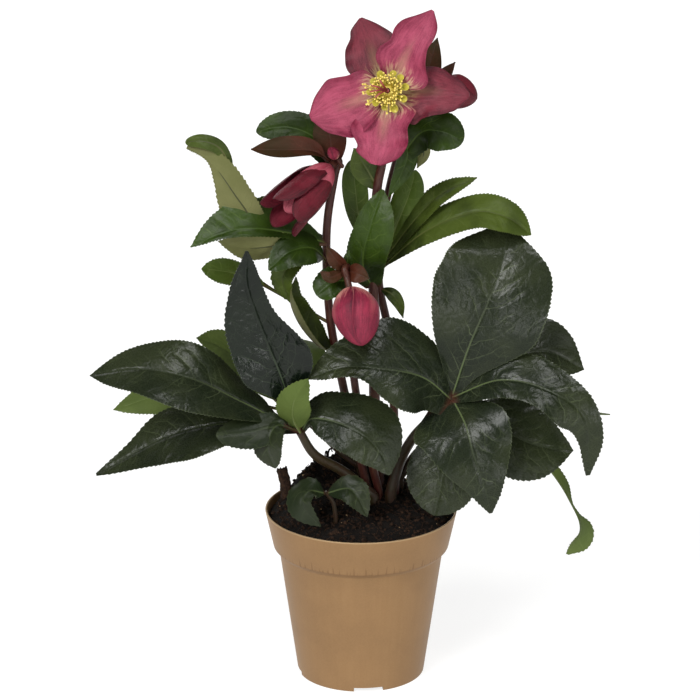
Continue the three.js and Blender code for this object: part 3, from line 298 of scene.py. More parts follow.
STEM_RIGHT = [
    dict(foot=[23, 14], points=[[22, 18, 188], [18, 18, 238], [12, 17, 271], [13, 17, 303], [20, 16, 345],
         [32, 16, 385], [42, 15, 405]], radii=[3, 2.2], bears=BUD_RIGHT),
    dict(rib=[[12, 16, 279], [23, 15, 311], [31, 15, 332], [36, 10, 352]], face=[[0, -0.9, 0.4]], width=20,
         belly=[1, 0.6], tooth=0, fold=8, curl=-10, finish="lime"),
    dict(rib=[[12, 16, 283], [34, 10, 316], [53, 6, 337], [76, 0, 350]], face=[[-0.3, -0.6, 0.7]], width=17,
         belly=[1, 0.9], fold=12, curl=-8),
    dict(rib=[[13, 16, 282], [42, 2, 312], [74, -6, 328], [96, -8, 325], [112, -8, 313]],
         face=[[0, -0.6, 0.75]], width=28, belly=[1, 0.8], fold=10, curl=-12, wave=1),
    dict(rib=[[13, 16, 268], [20, 11, 266], [25, 9, 260], [28, 8, 250]], face=[[0, -0.8, 0.5]], width=9,
         fold=8),
    dict(rib=[[22, 16, 352], [38, 6, 378], [52, 2, 381], [67, 0, 375]], face=[[0, -0.8, 0.6]], width=28,
         belly=[0.7, 0.5], fold=6, curl=-10, wave=2, tooth=0.5, finish="bright"),
    dict(rib=[[27, 16, 380], [30, 9, 360], [18, 6, 335]], face=[[0.2, -0.9, 0.3]], width=14, fold=12,
         finish="bright"),
    dict(rib=[[30, 16, 382], [41, 14, 365], [37, 12, 353]], face=[[0, 0.9, 0.3]], width=9, fold=8),
    dict(rib=[[36, 16, 394], [43, 22, 414], [50, 26, 438]], face=[[0, -1, 0.2]], width=18, tooth=0, fold=8,
         finish="brown"),
    dict(rib=[[37, 17, 396], [52, 28, 409], [62, 32, 420]], face=[[0, -1, 0.2]], width=10, fold=8,
         finish="brown"),
]
# The name of each, its parts, and the finish of its blades that name none.
BASAL_LEAVES = [
    ("leaf_left", LEAF_LEFT, "dark"), ("leaf_right", LEAF_RIGHT, "dark"),
    ("leaf_small", LEAF_SMALL, "sage"), ("leaf_back_left", LEAF_BACK_LEFT, "pale"),
    ("leaf_back_right", LEAF_BACK_RIGHT, "pale"),
]
STEMS = [
    ("stem_left", STEM_LEFT, "fresh"), ("stem_centre", STEM_CENTRE, "fresh"),
    ("stem_main", STEM_MAIN, "fresh"), ("stem_right", STEM_RIGHT, "fresh"),
]

# ---------------------------------------------------------------- colours, 0 to 255 as on a screen
LEAF_FINISHES = {
    # deep is a darker copy of dark: its colours are painted shade, for a leaf that stands in shadow.
    "deep": dict(upper=(6, 12, 8), patch=(20, 28, 18), vein=(70, 82, 60), under=(96, 104, 64),
                 under_patch=(80, 88, 52), gloss=0.26, roughness=0.24, relief=1.3),
    "dark": dict(upper=(22, 29, 17), patch=(42, 48, 29), vein=(102, 112, 80), under=(96, 104, 64),
                 under_patch=(80, 88, 52), gloss=0.22, roughness=0.28, relief=0.9),
    "sage": dict(upper=(20, 30, 12), patch=(38, 44, 26), vein=(84, 96, 60), under=(104, 110, 78),
                 under_patch=(88, 94, 66), gloss=0.2, roughness=0.4, relief=0.6),
    "pale": dict(upper=(66, 80, 36), patch=(84, 98, 48), vein=(112, 124, 74), under=(84, 98, 46),
                 under_patch=(66, 82, 34), gloss=0.16, roughness=0.5, relief=0.5),
    "fresh": dict(upper=(32, 42, 10), patch=(72, 86, 30), vein=(100, 112, 58), under=(112, 112, 72),
                  under_patch=(92, 94, 54), gloss=0.16, roughness=0.44, relief=0.7),
    "lime": dict(upper=(64, 76, 26), patch=(62, 80, 26), vein=(112, 126, 68), under=(102, 112, 56),
                 under_patch=(86, 96, 44), gloss=0.16, roughness=0.46, relief=0.6),
    "bright": dict(upper=(18, 30, 4), patch=(50, 70, 16), vein=(92, 112, 46), under=(88, 98, 48),
                   under_patch=(74, 84, 38), gloss=0.18, roughness=0.38, relief=0.7),
    "brown": dict(upper=(74, 34, 22), patch=(48, 38, 18), vein=(92, 52, 40), under=(74, 42, 30),
                  under_patch=(62, 48, 28), gloss=0.16, roughness=0.5, relief=0.4),
}
RIB_FINISHES = {
    # rib_deep is the midrib of that painted-shade copy.
    "rib_deep": dict(near=(70, 92, 48), far=(16, 24, 16)),
    "rib_dark": dict(near=(84, 104, 48), far=(36, 44, 24)),
    "rib_sage": dict(near=(70, 84, 46), far=(38, 46, 28)),
    "rib_pale": dict(near=(104, 114, 62), far=(86, 100, 48)),
    "rib_fresh": dict(near=(88, 62, 42), far=(60, 62, 34)),
    "rib_lime": dict(near=(104, 108, 58), far=(86, 98, 46)),
    "rib_bright": dict(near=(88, 108, 46), far=(52, 72, 26)),
    "rib_brown": dict(near=(72, 38, 30), far=(58, 36, 26)),
}
HUB_RED = (70, 40, 30)
STALK_FINISHES = {
    "stalk_green": dict(green=(42, 36, 18), red=(48, 24, 17), flush=0.6),
    "stalk_red": dict(green=(80, 50, 34), red=(58, 22, 18), flush=0.72),
}
PETAL_FINISHES = {
    "petal": dict(main=(162, 66, 92), deep=(100, 10, 42), heart=(200, 180, 134), back=(112, 42, 58),
                  band=0.3),
    "petal_dull": dict(main=(120, 42, 56), deep=(64, 10, 24), heart=(176, 152, 104), back=(92, 34, 42),
                       band=0.3),
    "bud": dict(main=(144, 38, 64), deep=(74, 6, 30), heart=(208, 146, 132), back=(112, 30, 50),
                band=0.3),
    "bud_dark": dict(main=(104, 20, 36), deep=(52, 4, 14), heart=(116, 42, 48), back=(118, 32, 48),
                     band=0.4),
    "bud_inner": dict(main=(188, 96, 110), deep=(140, 46, 64), heart=(170, 60, 76), back=(156, 70, 86),
                      band=0.2),
}
FLOWER_PART_FINISHES = {
    "nectary": dict(foot=(112, 116, 22), top=(184, 172, 62), roughness=0.4),
    "filament": dict(foot=(196, 176, 60), top=(226, 204, 98), roughness=0.5),
    "anther": dict(foot=(216, 190, 76), top=(238, 214, 112), roughness=0.7),
    "style": dict(foot=(96, 20, 36), top=(150, 58, 58), roughness=0.45),
    "receptacle": dict(foot=(120, 120, 62), top=(168, 128, 84), roughness=0.5),
}
PEAT_FINISHES = {
    "peat": dict(dark=(8, 5, 4), light=(24, 17, 12), scale=260),
    "crumb": dict(dark=(12, 8, 5), light=(70, 48, 34), scale=420),
    "fibre": dict(dark=(34, 22, 15), light=(76, 54, 38), scale=500),
    "root": dict(dark=(22, 13, 10), light=(46, 28, 20), scale=500),
    "speck": dict(dark=(128, 100, 70), light=(206, 178, 140), scale=500),
    "bark": dict(dark=(34, 22, 16), light=(74, 52, 38), scale=300),
}
# Of the pot's colours, step is a painted shadow line just under the collar's step.
POT_COLOURS = dict(
    gold=(136, 105, 71), streak=(140, 109, 75), cloud=(127, 98, 67), speckle=(162, 130, 94),
    # The last colour, on the rim's top edge, is a painted highlight.
    scuff=(108, 78, 50), step=(104, 76, 48), painted_lip_highlight=(206, 182, 144),
)
FLOOR_COLOURS = [(146, 146, 145), (152, 152, 151)]


def tint(red, green, blue):
    """A colour as seen on a screen, 0 to 255, as the linear one that the shaders work in."""
    shares = [value / 255 for value in (red, green, blue)]
    return tuple([((s + 0.055) / 1.055) ** 2.4 if s > 0.04 else s / 12.92 for s in shares] + [1.0])


# ---------------------------------------------------------------- shader wiring
class Value:
    """An output of a shader node. A sum or a product with it makes the Math node that works it out."""

    def __init__(self, shader, socket):
        self.shader, self.socket = shader, socket

    def __add__(self, other):
        return self.shader.math("ADD", self, other)

    def __sub__(self, other):
        return self.shader.math("SUBTRACT", self, other)

    def __mul__(self, other):
        return self.shader.math("MULTIPLY", self, other)

    def __truediv__(self, other):
        return self.shader.math("DIVIDE", self, other)

    def __pow__(self, other):
        return self.shader.math("POWER", self, other)

    def __abs__(self):
        return self.shader.math("ABSOLUTE", self)


class Shader:
    """A material wired up by short calls. What they take is a Value, a number or a colour: one of
    three numbers is as on a screen, and one of four is linear."""

    def __init__(self, name):
        self.material = bpy.data.materials.new(name)
        self.material.use_nodes = True
        self.tree = self.material.node_tree
        self.surface = self.tree.nodes["Principled BSDF"]

    def feed(self, socket, value):
        if isinstance(value, Value):
            self.tree.links.new(value.socket, socket)
        elif socket.type == "RGBA" and len(value) == 3:
            socket.default_value = tint(*value)
        else:
            socket.default_value = value

    def node(self, kind, inputs, output=0, **settings):
        made = self.tree.nodes.new(kind)
        for key, value in settings.items():
            setattr(made, key, value)
        for key, value in inputs.items():
            self.feed(made.inputs[key], value)
        return Value(self, made.outputs[output])

    def math(self, operation, *values):
        return self.node("ShaderNodeMath", dict(enumerate(values)), operation=operation)

    def span(self, value, low, high, to_low=0, to_high=1):
        """Turns value's span from low to high smoothly into the span from to_low to to_high."""
        inputs = {0: value, 1: low, 2: high, 3: to_low, 4: to_high}
        return self.node("ShaderNodeMapRange", inputs, interpolation_type="SMOOTHSTEP")

    def mix(self, share, first, second):
        return self.node("ShaderNodeMix", {0: share, 6: first, 7: second}, output=2, data_type="RGBA")

    def vector(self, x, y, z):
        return self.node("ShaderNodeCombineXYZ", {0: x, 1: y, 2: z})

    def parts(self, vector):
        """The three numbers of a vector."""
        first = self.node("ShaderNodeSeparateXYZ", {0: vector})
        return [Value(self, output) for output in first.socket.node.outputs]

    def marks(self, name):
        """The three numbers of one of a mesh's own marks."""
        return self.parts(self.node("ShaderNodeAttribute", {}, output="Vector", attribute_name=name))

    def object_place(self):
        return self.node("ShaderNodeTexCoord", {}, output="Object")

    def noise(self, vector, scale, detail=2, roughness=0.5):
        inputs = {"Vector": vector, "Scale": scale, "Detail": detail, "Roughness": roughness}
        return self.node("ShaderNodeTexNoise", inputs)

    def cell_edges(self, vector, size):
        """The distance to the nearest border between cells of a size."""
        inputs = {"Vector": vector, "Scale": 1 / size}
        return self.node("ShaderNodeTexVoronoi", inputs, feature="DISTANCE_TO_EDGE") * size

    def finish(self, height=None, **values):
        """The material, with its surface's values and a bump from a height in millimetres."""
        for name, value in values.items():
            self.feed(self.surface.inputs[name.replace("_", " ").title().replace("Ior", "IOR")], value)
        if height is not None:
            inputs = {"Height": height, "Distance": MM, "Strength": 1}
            self.feed(self.surface.inputs["Normal"], self.node("ShaderNodeBump", inputs))
        return self.material


# ---------------------------------------------------------------- materials
VEIN_SPACING = 13  # between a leaf's side veins along its midrib
VEIN_WANDER = 14
NET_SIZES = (6.5, 2.4)  # of the cells between the veins, large and small
SEED_SPREAD = 50  # how far apart the marks of two blades lie in the noise


def leaf_material(name, upper, patch, vein, under, under_patch, gloss, roughness, relief):
    """A leathery blade: midrib, side veins that bend forward, two nets between them, pale below."""
    s = Shader(name)
    along, across, seed = s.marks("place")
    length_share, column, face = s.marks("share")
    out, wide = abs(across), abs(column)
    place = s.vector(along, across, seed * SEED_SPREAD)
    drift = (s.noise(place, 0.06) - 0.5) * VEIN_WANDER
    ahead = along - (out**2 * 0.016 + out * 0.7) + drift
    run = ahead + (s.math("SIGN", across) * (VEIN_SPACING / 4) + 10 * VEIN_SPACING)
    distance = abs(s.math("FRACT", run / VEIN_SPACING) - 0.5) * VEIN_SPACING
    side_vein = s.span(distance, 0.05, 0.45, 1, 0) * s.span(wide, 0.45, 0.95, 1, 0.1)
    warped = s.vector(along + drift, across, seed * SEED_SPREAD)
    large_cells, small_cells = [s.cell_edges(warped, size) for size in NET_SIZES]
    net = s.span(large_cells, 0.03, 0.25, 1, 0)
    fine = s.noise(place, 0.9, 3)
    large = s.span(s.noise(place, 0.035, 3), 0.35, 0.65)
    patchy = (length_share - 0.4) * 0.5 + (large * 0.6 + fine * 0.3)
    shown = s.span(s.noise(place, 0.05, 1), 0.42, 0.62)
    lines = s.math("MAXIMUM", side_vein * 0.36, net * 0.14) * (shown * 0.8 + 0.2)
    rib = s.span(out, 0.25, 0.8, 1, 0) * s.span(length_share, 0.05, 0.7, 0.6, 0)
    top = s.mix(s.math("MAXIMUM", lines, rib), s.mix(patchy, upper, patch), vein)
    top = s.mix(s.span(wide, 0.975, 1, 0, 0.3), top, vein)
    bottom = s.mix(lines * 1.5, s.mix(patchy, under, under_patch), under_patch)
    colour = s.mix(s.span(length_share, 0, 0.05, 0.8, 0), s.mix(face, top, bottom), HUB_RED)
    pillow = s.span(distance, 0, 5) * (s.span(wide, 0, 0.12) * (shown * 0.2 + 0.08))
    swell = s.noise(place, 0.06, 1) * 1.1 + pillow
    height = swell + s.span(large_cells, 0, 1.8) * 0.1 + s.span(small_cells, 0, 0.6) * 0.03
    height = height - s.span(out, 0.3, 2.2, 0.3, 0) + fine * 0.04
    return s.finish(
        height * (face * (-1.6 * relief) + relief), base_color=colour, specular_ior_level=gloss,
        roughness=face * 0.2 + (fine * 0.16 + (roughness - 0.08)),
    )


def stalk_material(name, green, red, flush):
    """A fleshy stalk: fine lengthwise ridges, green flushed with red in streaks."""
    s = Shader(name)
    along, around, seed = s.marks("place")
    streak = s.noise(s.vector(along * 0.08, around, seed), 1.6, 4, 0.65)
    speck = s.noise(s.vector(along, around * 3, seed), 1.1)
    share = s.span(speck * 0.25 + streak, flush - 0.2, flush + 0.2, 1, 0)
    pale = tuple(min(1, 2.2 * value) for value in tint(*green))
    lit = s.span(s.noise(s.vector(along, 0, seed), 0.02, 1), 0.5, 0.65, 0, 0.3)
    return s.finish(
        streak * 0.25 + speck * 0.08, base_color=s.mix(lit, s.mix(share, green, red), pale),
        roughness=speck * 0.2 + 0.34, specular_ior_level=0.3,
    )


def rib_material(name, near, far):
    """A leaf's raised midrib: red at the very base, then pale, and fading towards the tip."""
    s = Shader(name)
    speck = s.noise(s.vector(*s.marks("place")), 0.5, 3)
    length_share = s.marks("share")[0]
    fade = s.span(speck * 0.2 + length_share, 0.1, 0.65)
    colour = s.mix(s.span(length_share, 0, 0.08, 0.8, 0), s.mix(fade, near, far), HUB_RED)
    return s.finish(speck * 0.1, base_color=colour, roughness=0.45, specular_ior_level=0.3)


def petal_material(name, main, deep, heart, back, band):
    """A soft petal: veins that fan out from its base, a pale heart, deeper towards the margin."""
    s = Shader(name)
    along, across, seed = s.marks("place")
    length_share, column, face = s.marks("share")
    place, wide = s.vector(along, across, seed), abs(column)
    veins = s.noise(s.vector(column * 5, length_share * 2.2, seed), 2.4, 5, 0.62)
    veins = s.span(veins, 0.38, 0.66)
    cloud = s.span(s.noise(place, 0.07, 3), 0.3, 0.7)
    mottle = s.noise(place, 1.2, 3)
    depth = s.span(wide, 0.6, 1) * 0.45 + (veins * 0.3 + cloud * 0.4) + (mottle - 0.5) * 0.6
    base = s.span(wide * 0.22 + ((veins - 0.5) * 0.2 + length_share), 0.04, 0.34, 0.9, 0)
    middle = s.span(wide, 0, 0.3, 1, 0) * s.span(length_share, 0.1, 0.75, band, 0)
    front = s.mix(s.math("MAXIMUM", base, middle), s.mix(depth, main, deep), heart)
    return s.finish(
        veins * 0.12 + cloud * 0.3 + mottle * 0.06,
        base_color=s.mix(face, front, s.mix(depth, back, deep)), roughness=0.55, specular_ior_level=0.3,
        subsurface_weight=0.06, subsurface_radius=(0.003, 0.0015, 0.0018), subsurface_scale=0.5,
    )


def two_tone_material(name, foot, top, roughness):
    """One colour at the foot that runs into another at the top, by the mark of the share."""
    s = Shader(name)
    speck = s.noise(s.vector(*s.marks("place")), 0.8)
    ramp = s.span(s.marks("share")[0] + (speck - 0.5) * 0.4, 0.1, 0.9)
    return s.finish(
        speck * 0.15, base_color=s.mix(ramp, foot, top), roughness=roughness,
        subsurface_weight=0.1, subsurface_radius=(0.002, 0.002, 0.001), subsurface_scale=0.5,
    )


def pot_material():
    """Thin gold-coloured plastic: satin, with faint upright flow streaks, short upright scuffs at
    the foot of the collar, a painted shadow line under the collar's step and a painted highlight
    along the rim's top edge."""
    s = Shader("pot_plastic")
    place = s.object_place()
    x, y, z = s.parts(place)
    angle, height = s.math("ARCTAN2", x, y * -1), z / MM
    streak = s.noise(s.vector(angle * 9, height * 0.012, 0), 1.6, 5)
    cloud = s.noise(s.vector(angle, height * 0.02, 3), 1.8)
    speckle = s.noise(place, 900)
    scuff = s.noise(s.vector(angle * 30, 0, 0), 1, 4)
    over_step = height - COLLAR_FOOT["z"]
    scuffed = s.span(s.span(scuff, 0.48, 0.7) * 8 - over_step, 0, 1.5) * s.span(over_step, -0.5, 0.5)
    shares = dict(
        cloud=s.span(cloud, 0.35, 0.65, 0, 0.6), speckle=speckle * 0.35, scuff=scuffed * 0.5,
        # A painted shadow: a dark line just under the collar's step.
        step=s.span(abs(over_step + 0.6), 0.3, 1.5, 1, 0) * 0.3,
        # A painted highlight along the rim's top edge.
        painted_lip_highlight=s.span(height, POT_HEIGHT - 1.2, POT_HEIGHT - 0.4) * 0.3,
    )
    colour = s.mix(s.span(streak, 0.3, 0.7), POT_COLOURS["gold"], POT_COLOURS["streak"])
    for mark, share in shares.items():
        colour = s.mix(share, colour, POT_COLOURS[mark])
    return s.finish(
        streak * 0.03 + speckle * 0.01 - scuffed * 0.06, base_color=colour, metallic=0.35,
        roughness=s.span(streak, 0.2, 0.8, 0.44, 0.5), specular_ior_level=0.15,
    )


def peat_material(name, dark, light, scale):
    """Damp crumbly peat, or the bits that lie in it."""
    s = Shader(name)
    coarse = s.noise(s.object_place(), scale, 6, 0.7)
    grain = s.noise(s.object_place(), 6 * scale, 3, 0.6)
    colour = s.mix(s.span(coarse, 0.35, 0.75), dark, light)
    return s.finish(coarse * 1.2 + grain * 0.5, base_color=colour, roughness=0.92, specular_ior_level=0.2)


def floor_material():
    s = Shader("floor")
    colour = s.mix(s.noise(s.object_place(), 0.6), *FLOOR_COLOURS)
    return s.finish(base_color=colour, roughness=0.8, emission_color=(1, 1, 1, 1),
                    emission_strength=FLOOR_GLOW)


def make_materials():
    """Every material of the object by its finish."""
    kinds = (
        (leaf_material, LEAF_FINISHES), (rib_material, RIB_FINISHES), (stalk_material, STALK_FINISHES),
        (petal_material, PETAL_FINISHES), (two_tone_material, FLOWER_PART_FINISHES),
        (peat_material, PEAT_FINISHES),
    )
    made = {name: make(name, **values) for make, finishes in kinds for name, values in finishes.items()}
    made["pot"] = pot_material()
    return made


# ---------------------------------------------------------------- meshes in the making
class Piece:
    """A mesh in the making. Each part added has a finish, and marks for its shader on every point:
    place is along, across and a seed, in millimetres, and share is the shares of the length and of
    the half width, and 1 on a lower face. Without marks a part has its points as the place."""

    def __init__(self):
        self.points, self.places, self.shares = [], [], []
        self.faces, self.finishes = [], []
        self.count = 0

    def add(self, points, faces, finish, place=None, share=None):
        self.points.append(points)
        self.places.append(points if place is None else place)
        self.shares.append(np.zeros_like(points) if share is None else share)
        self.faces.extend((np.asarray(faces) + self.count).tolist())
        self.finishes.extend([finish] * len(faces))
        self.count += len(points)

    def build(self, name, slot, *replaced, sharp=50):
        mesh = bpy.data.meshes.new(name)
        mesh.from_pydata((np.vstack(self.points) * MM).tolist(), [], self.faces)
        finishes = sorted(set(self.finishes))
        for finish in finishes:
            mesh.materials.append(MATERIALS[finish])
        mesh.polygons.foreach_set("material_index", [finishes.index(f) for f in self.finishes])
        for label, marks in (("place", self.places), ("share", self.shares)):
            attribute = mesh.attributes.new(label, "FLOAT_VECTOR", "POINT")
            attribute.data.foreach_set("vector", np.vstack(marks).astype(np.float32).ravel())
        mesh.shade_smooth()
        mesh.set_sharp_from_angle(angle=math.radians(sharp))
        made = bpy.data.objects.new(name, mesh)
        bpy.context.collection.objects.link(made)
        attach(made, "root")
        if replaced:
            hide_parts(*replaced)
        return made


def unit(vectors):
    vectors = np.asarray(vectors, float)
    return vectors / np.linalg.norm(vectors, axis=-1, keepdims=True)


def level_way(turn):
    """The level direction at a turn about Z."""
    return np.array([math.cos(turn), math.sin(turn), 0])


def marks_of(*values):
    """Marks from their three values, each a list for all points or one number that they share."""
    return np.stack(np.broadcast_arrays(*values), axis=-1).astype(float)


def curve_points(control, places):
    """Points on the smooth curve through the control points, at places from 0 to 1."""
    control = np.asarray(control, float)
    spans = len(control) - 1
    padded = np.vstack([2 * control[0] - control[1], control, 2 * control[-1] - control[-2]])
    spot = np.clip(places, 0, 1) * spans
    index = np.minimum(spot.astype(int), spans - 1)
    w = (spot - index)[:, None]
    before, start, end, after = (padded[index + k] for k in range(4))
    leave, arrive = 0.5 * (end - before), 0.5 * (after - start)
    bend = 3 * (end - start) - 2 * leave - arrive
    return start + leave * w + bend * w**2 + (2 * (start - end) + leave + arrive) * w**3


def curve_tangents(control, places):
    step = 1e-4
    return unit(curve_points(control, places + step) - curve_points(control, places - step))


def directions_at(directions, places):
    """The directions at places from 0 to 1 along a list that shares out the length evenly."""
    directions = np.asarray(directions, float)
    spots = np.clip(places, 0, 0.9999) * (len(directions) - 1)
    return np.stack([np.interp(spots, range(len(directions)), axis) for axis in directions.T], axis=1)


def lengths_along(points):
    steps = np.linalg.norm(np.diff(points, axis=0), axis=1)
    return np.concatenate([[0], np.cumsum(steps)])


def grid_faces(rows, columns, offset=0, flip=False, wrap=False):
    """The quads of a grid of points, row by row, and round each row if it wraps."""
    i, j = np.meshgrid(range(rows - 1), range(columns if wrap else columns - 1), indexing="ij")
    next_j = (j + 1) % columns
    corners = [i * columns + j, i * columns + next_j, (i + 1) * columns + next_j, (i + 1) * columns + j]
    faces = offset + np.stack(corners, axis=-1).reshape(-1, 4)
    return faces[:, ::-1] if flip else faces


def sheet_faces(rows, columns):
    """A thin closed sheet: the grid of its upper face, then that of its lower one, and the rim."""
    lower = rows * columns
    grid = np.arange(lower).reshape(rows, columns)
    rim = []
    for line, flip in ((grid[:, 0], True), (grid[:, -1], False), (grid[0], False), (grid[-1], True)):
        quads = np.stack([line[:-1], lower + line[:-1], lower + line[1:], line[1:]], axis=1)
        rim.append(quads[:, ::-1] if flip else quads)
    return np.vstack([grid_faces(rows, columns), grid_faces(rows, columns, lower, flip=True), *rim])


def tube(path, radii, sides):
    """Rings round a path, with a direction carried along it so that they don't twist."""
    path = np.asarray(path, float)
    along = unit(np.gradient(path, axis=0))
    normal = np.array([1.0, 0, 0])
    if abs(along[0][0]) > 0.9:
        normal = np.array([0, 1.0, 0])
    angles = np.linspace(0, 2 * np.pi, sides, endpoint=False)
    rings = []
    for centre, direction, radius in zip(path, along, radii):
        normal = unit(normal - normal.dot(direction) * direction)
        sideways = np.cross(direction, normal)
        ring = np.outer(np.cos(angles), normal) + np.outer(np.sin(angles), sideways)
        rings.append(centre + radius * ring)
    return np.vstack(rings)


def add_tube(piece, path, radii, finish, seed, sides):
    """A closed tube, whose ends are rounded off by a small last ring."""
    path = np.asarray(path, float)
    ends = [path[0] + 0.001 * (path[1] - path[0]), path[-1] + 0.001 * (path[-2] - path[-1])]
    path = np.vstack([path[0], ends[0], path[1:-1], ends[1], path[-1]])
    points = tube(path, [0.01, *radii, 0.01], sides)
    lengths = np.repeat(lengths_along(path), sides)
    around = np.tile(np.sin(np.linspace(0, np.pi, sides, endpoint=False)) * 3, len(path))
    piece.add(points, grid_faces(len(path), sides, wrap=True), finish, marks_of(lengths, around, seed),
              marks_of(lengths / lengths[-1], 0, 0))


# ---------------------------------------------------------------- blades
def blade_rows(shape, rng):
    """Places along a blade, and how far its left and its right margin reach out at each."""
    neck, tooth = shape["neck"], shape["tooth"]
    length = lengths_along(curve_points(shape["rib"], np.linspace(0, 1, 40)))[-1]
    teeth = max(8, round(length * (1 - neck) / TOOTH_SPACING))
    places = [neck * k / 4 for k in range(4)] if neck > 0 else []
    reaches = [(0, 0)] * len(places)
    for k in range(teeth):
        heights = rng.uniform(0.55, 1.1, 2) * tooth
        for phase, lift in ROWS_PER_TOOTH:
            share = (k + phase) / teeth
            strength = lift * min(1, share / 0.25) * min(1, (1 - share) / 0.06)
            places.append(neck + (1 - neck) * share)
            reaches.append(tuple(heights * strength))
    return np.array(places + [1.0]), np.array(reaches + [(0, 0)])


def crumple_at(places, columns, rng):
    """Low swells over a blade, none at its midrib: a few crossing waves of random phase."""
    t, u = places[:, None], columns[None, :]
    swell = np.zeros((len(places), len(columns)))
    for waves_along, waves_across in ((1.6, 0.7), (2.7, -1.2), (4.3, 1.9)):
        phase = rng.uniform(0, 2 * np.pi)
        swell += np.sin(2 * np.pi * (waves_along * t + waves_across * u) + phase) / waves_along
    return swell * np.abs(u) * np.sin(np.pi * t)


def half_widths(shape, places, share):
    """The half widths left and right of the midrib, by a list for either or by a swell."""
    if "left" in shape:
        return [curve_points([[width] for width in shape[side]], places)[:, 0] for side in ("left", "right")]
    p, q = shape["belly"]
    peak = (p / (p + q)) ** p * (q / (p + q)) ** q
    swell = share**p * (1 - share) ** q / peak
    half = np.maximum(shape["width"] / 2 * swell, shape["root"] * (1 - share) + 0.5 * share)
    return half * (1 - shape["skew"]), half * (1 + shape["skew"])


def add_blade(piece, spec, rng, move=np.asarray):
    """A leaf, bract or petal as a thin closed sheet, with its midrib raised on both faces."""
    is_toothed = "left" in spec or spec["width"] >= TOOTHED_WIDTH
    shape = {**BLADE_DEFAULTS, "tooth": TOOTH_REACH if is_toothed else 0, **spec}
    shape["tooth"] = min(shape["tooth"], TOOTH_REACH)
    places, reaches = blade_rows(shape, rng)
    half_columns = np.array(COLUMNS)
    columns = np.concatenate([-half_columns[::-1], [0], half_columns])
    side, u = np.sign(columns), np.abs(columns)
    share = np.clip((places - shape["neck"]) / (1 - shape["neck"]), 0, 1)
    left, right = half_widths(shape, places, share)
    halves = np.where(side < 0, left[:, None], right[:, None])
    halves[:, 0] += reaches[:, 0]
    halves[:, -1] += reaches[:, 1]
    start, bend = math.radians(shape["fold"]), math.radians(shape["curl"])
    angle = start + bend * u
    if bend == 0:
        out, rise = halves * u * math.cos(start), halves * u * math.sin(start)
    else:
        out = halves * (np.sin(angle) - math.sin(start)) / bend
        rise = halves * (math.cos(start) - np.cos(angle)) / bend
    middle, along = curve_points(shape["rib"], places), curve_tangents(shape["rib"], places)
    up = directions_at(shape["face"], places)
    up = unit(up - np.sum(up * along, axis=1, keepdims=True) * along)
    across = np.cross(along, up)
    ripple = np.sin(np.pi * (4 * places[:, None] + 0.5 * side)) * np.sin(np.pi * places[:, None])
    lift = rise + shape["wave"] * u**2 * ripple + shape["crumple"] * crumple_at(places, columns, rng)
    upper = middle[:, None] + across[:, None] * (side * out)[..., None] + up[:, None] * lift[..., None]
    depth = BLADE_THICKNESS * (1 - MARGIN_THINNING * u)
    lean = (depth * side * np.sin(angle))[None, :, None]
    lower = upper - up[:, None] * (depth * np.cos(angle))[None, :, None] + across[:, None] * lean
    points = np.vstack([upper.reshape(-1, 3), lower.reshape(-1, 3)])
    seed = rng.uniform(0, 1)
    rows, count = len(places), len(columns)
    place = marks_of(np.repeat(lengths_along(middle), count), (side * u * halves).ravel(), seed)
    above = marks_of(np.repeat(share, count), np.tile(columns, rows), 0)
    piece.add(move(points), sheet_faces(rows, count), shape["finish"], np.vstack([place, place]),
              np.vstack([above, above + [0, 0, 1]]))
    if shape["rib_radius"] > 0:
        kept = places < RIB_END
        radii = shape["rib_radius"] * (1 - places[kept]) ** 0.8 + 0.12
        centre = middle[kept] - up[kept] * (radii - RIB_PROUD)[:, None]
        add_tube(piece, move(centre[::2]), radii[::2], "rib_" + shape["finish"], seed, RIB_SIDES)


# ---------------------------------------------------------------- leaves and stems
def stalk_path(spec):
    """The way of a stalk and its radius along it, as the part's source has them."""
    foot, bears = spec.get("foot"), spec.get("bears")
    start = [[*foot, hole_top(*foot)]] if foot else []
    control = start + spec["points"]
    end = []
    if bears:
        base = np.array(bears["base"], float)
        axis = unit(np.array(bears["tip"]) - base)
        control = control + [list(base - STRAIGHT_END * axis)]
        end = [base - STALK_GAP * axis]
    spans = len(control) - 1
    places = np.linspace(0, 1, 8 * spans + 1)
    path = curve_points(control, places)
    steps = 2 * spans * places
    if foot:
        path = np.vstack([[*foot, HOLE_BOTTOM], path])
        steps = np.concatenate([[0], steps + 1])
    if bears:
        path = np.vstack([path, end])
        steps = np.concatenate([steps, [steps[-1] + 1]])
    first, last = spec["radii"]
    return path, first + (last - first) * steps / steps[-1]


def make_leafy(name, parts, finish, slot, stalk_finish, seed):
    """A leaf or a stem of stalks and blades, and the finish is that of a blade that names none."""
    rng = np.random.default_rng(seed)
    piece = Piece()
    for part in parts:
        if "radii" in part:
            add_tube(piece, *stalk_path(part), stalk_finish, rng.uniform(0, 9), STALK_SIDES)
        else:
            add_blade(piece, {"finish": finish, **part}, rng)
    piece.build(name + "_fine", slot, name)


# ---------------------------------------------------------------- bloom and buds
def placer(shape):
    """Moves what was made along +Z from the origin onto the line from base to tip."""
    base = Vector(shape["base"])
    turn = Vector((0, 0, 1)).rotation_difference(Vector(shape["tip"]) - base).to_matrix()
    return lambda points: np.asarray(points) @ np.array(turn).T + np.array(base)


def turned_points(profile, sides):
    """Rings of a profile of [radius, z] about Z, the first ring lowest."""
    angles = np.linspace(0, 2 * np.pi, sides, endpoint=False)
    rings = [[(r * math.sin(a), -r * math.cos(a), z) for a in angles] for r, z in profile]
    return np.array(rings).reshape(-1, 3)


def add_turned(piece, profile, sides, finish, move, lift=0):
    """Adds a turned part by its profile, lifted along its axis and then moved into place."""
    points = turned_points([[radius, z + lift] for radius, z in profile], sides)
    share = marks_of(np.repeat(np.linspace(0, 1, len(profile)), sides), 0, 0)
    piece.add(move(points), grid_faces(len(profile), sides, wrap=True), finish, points, share)


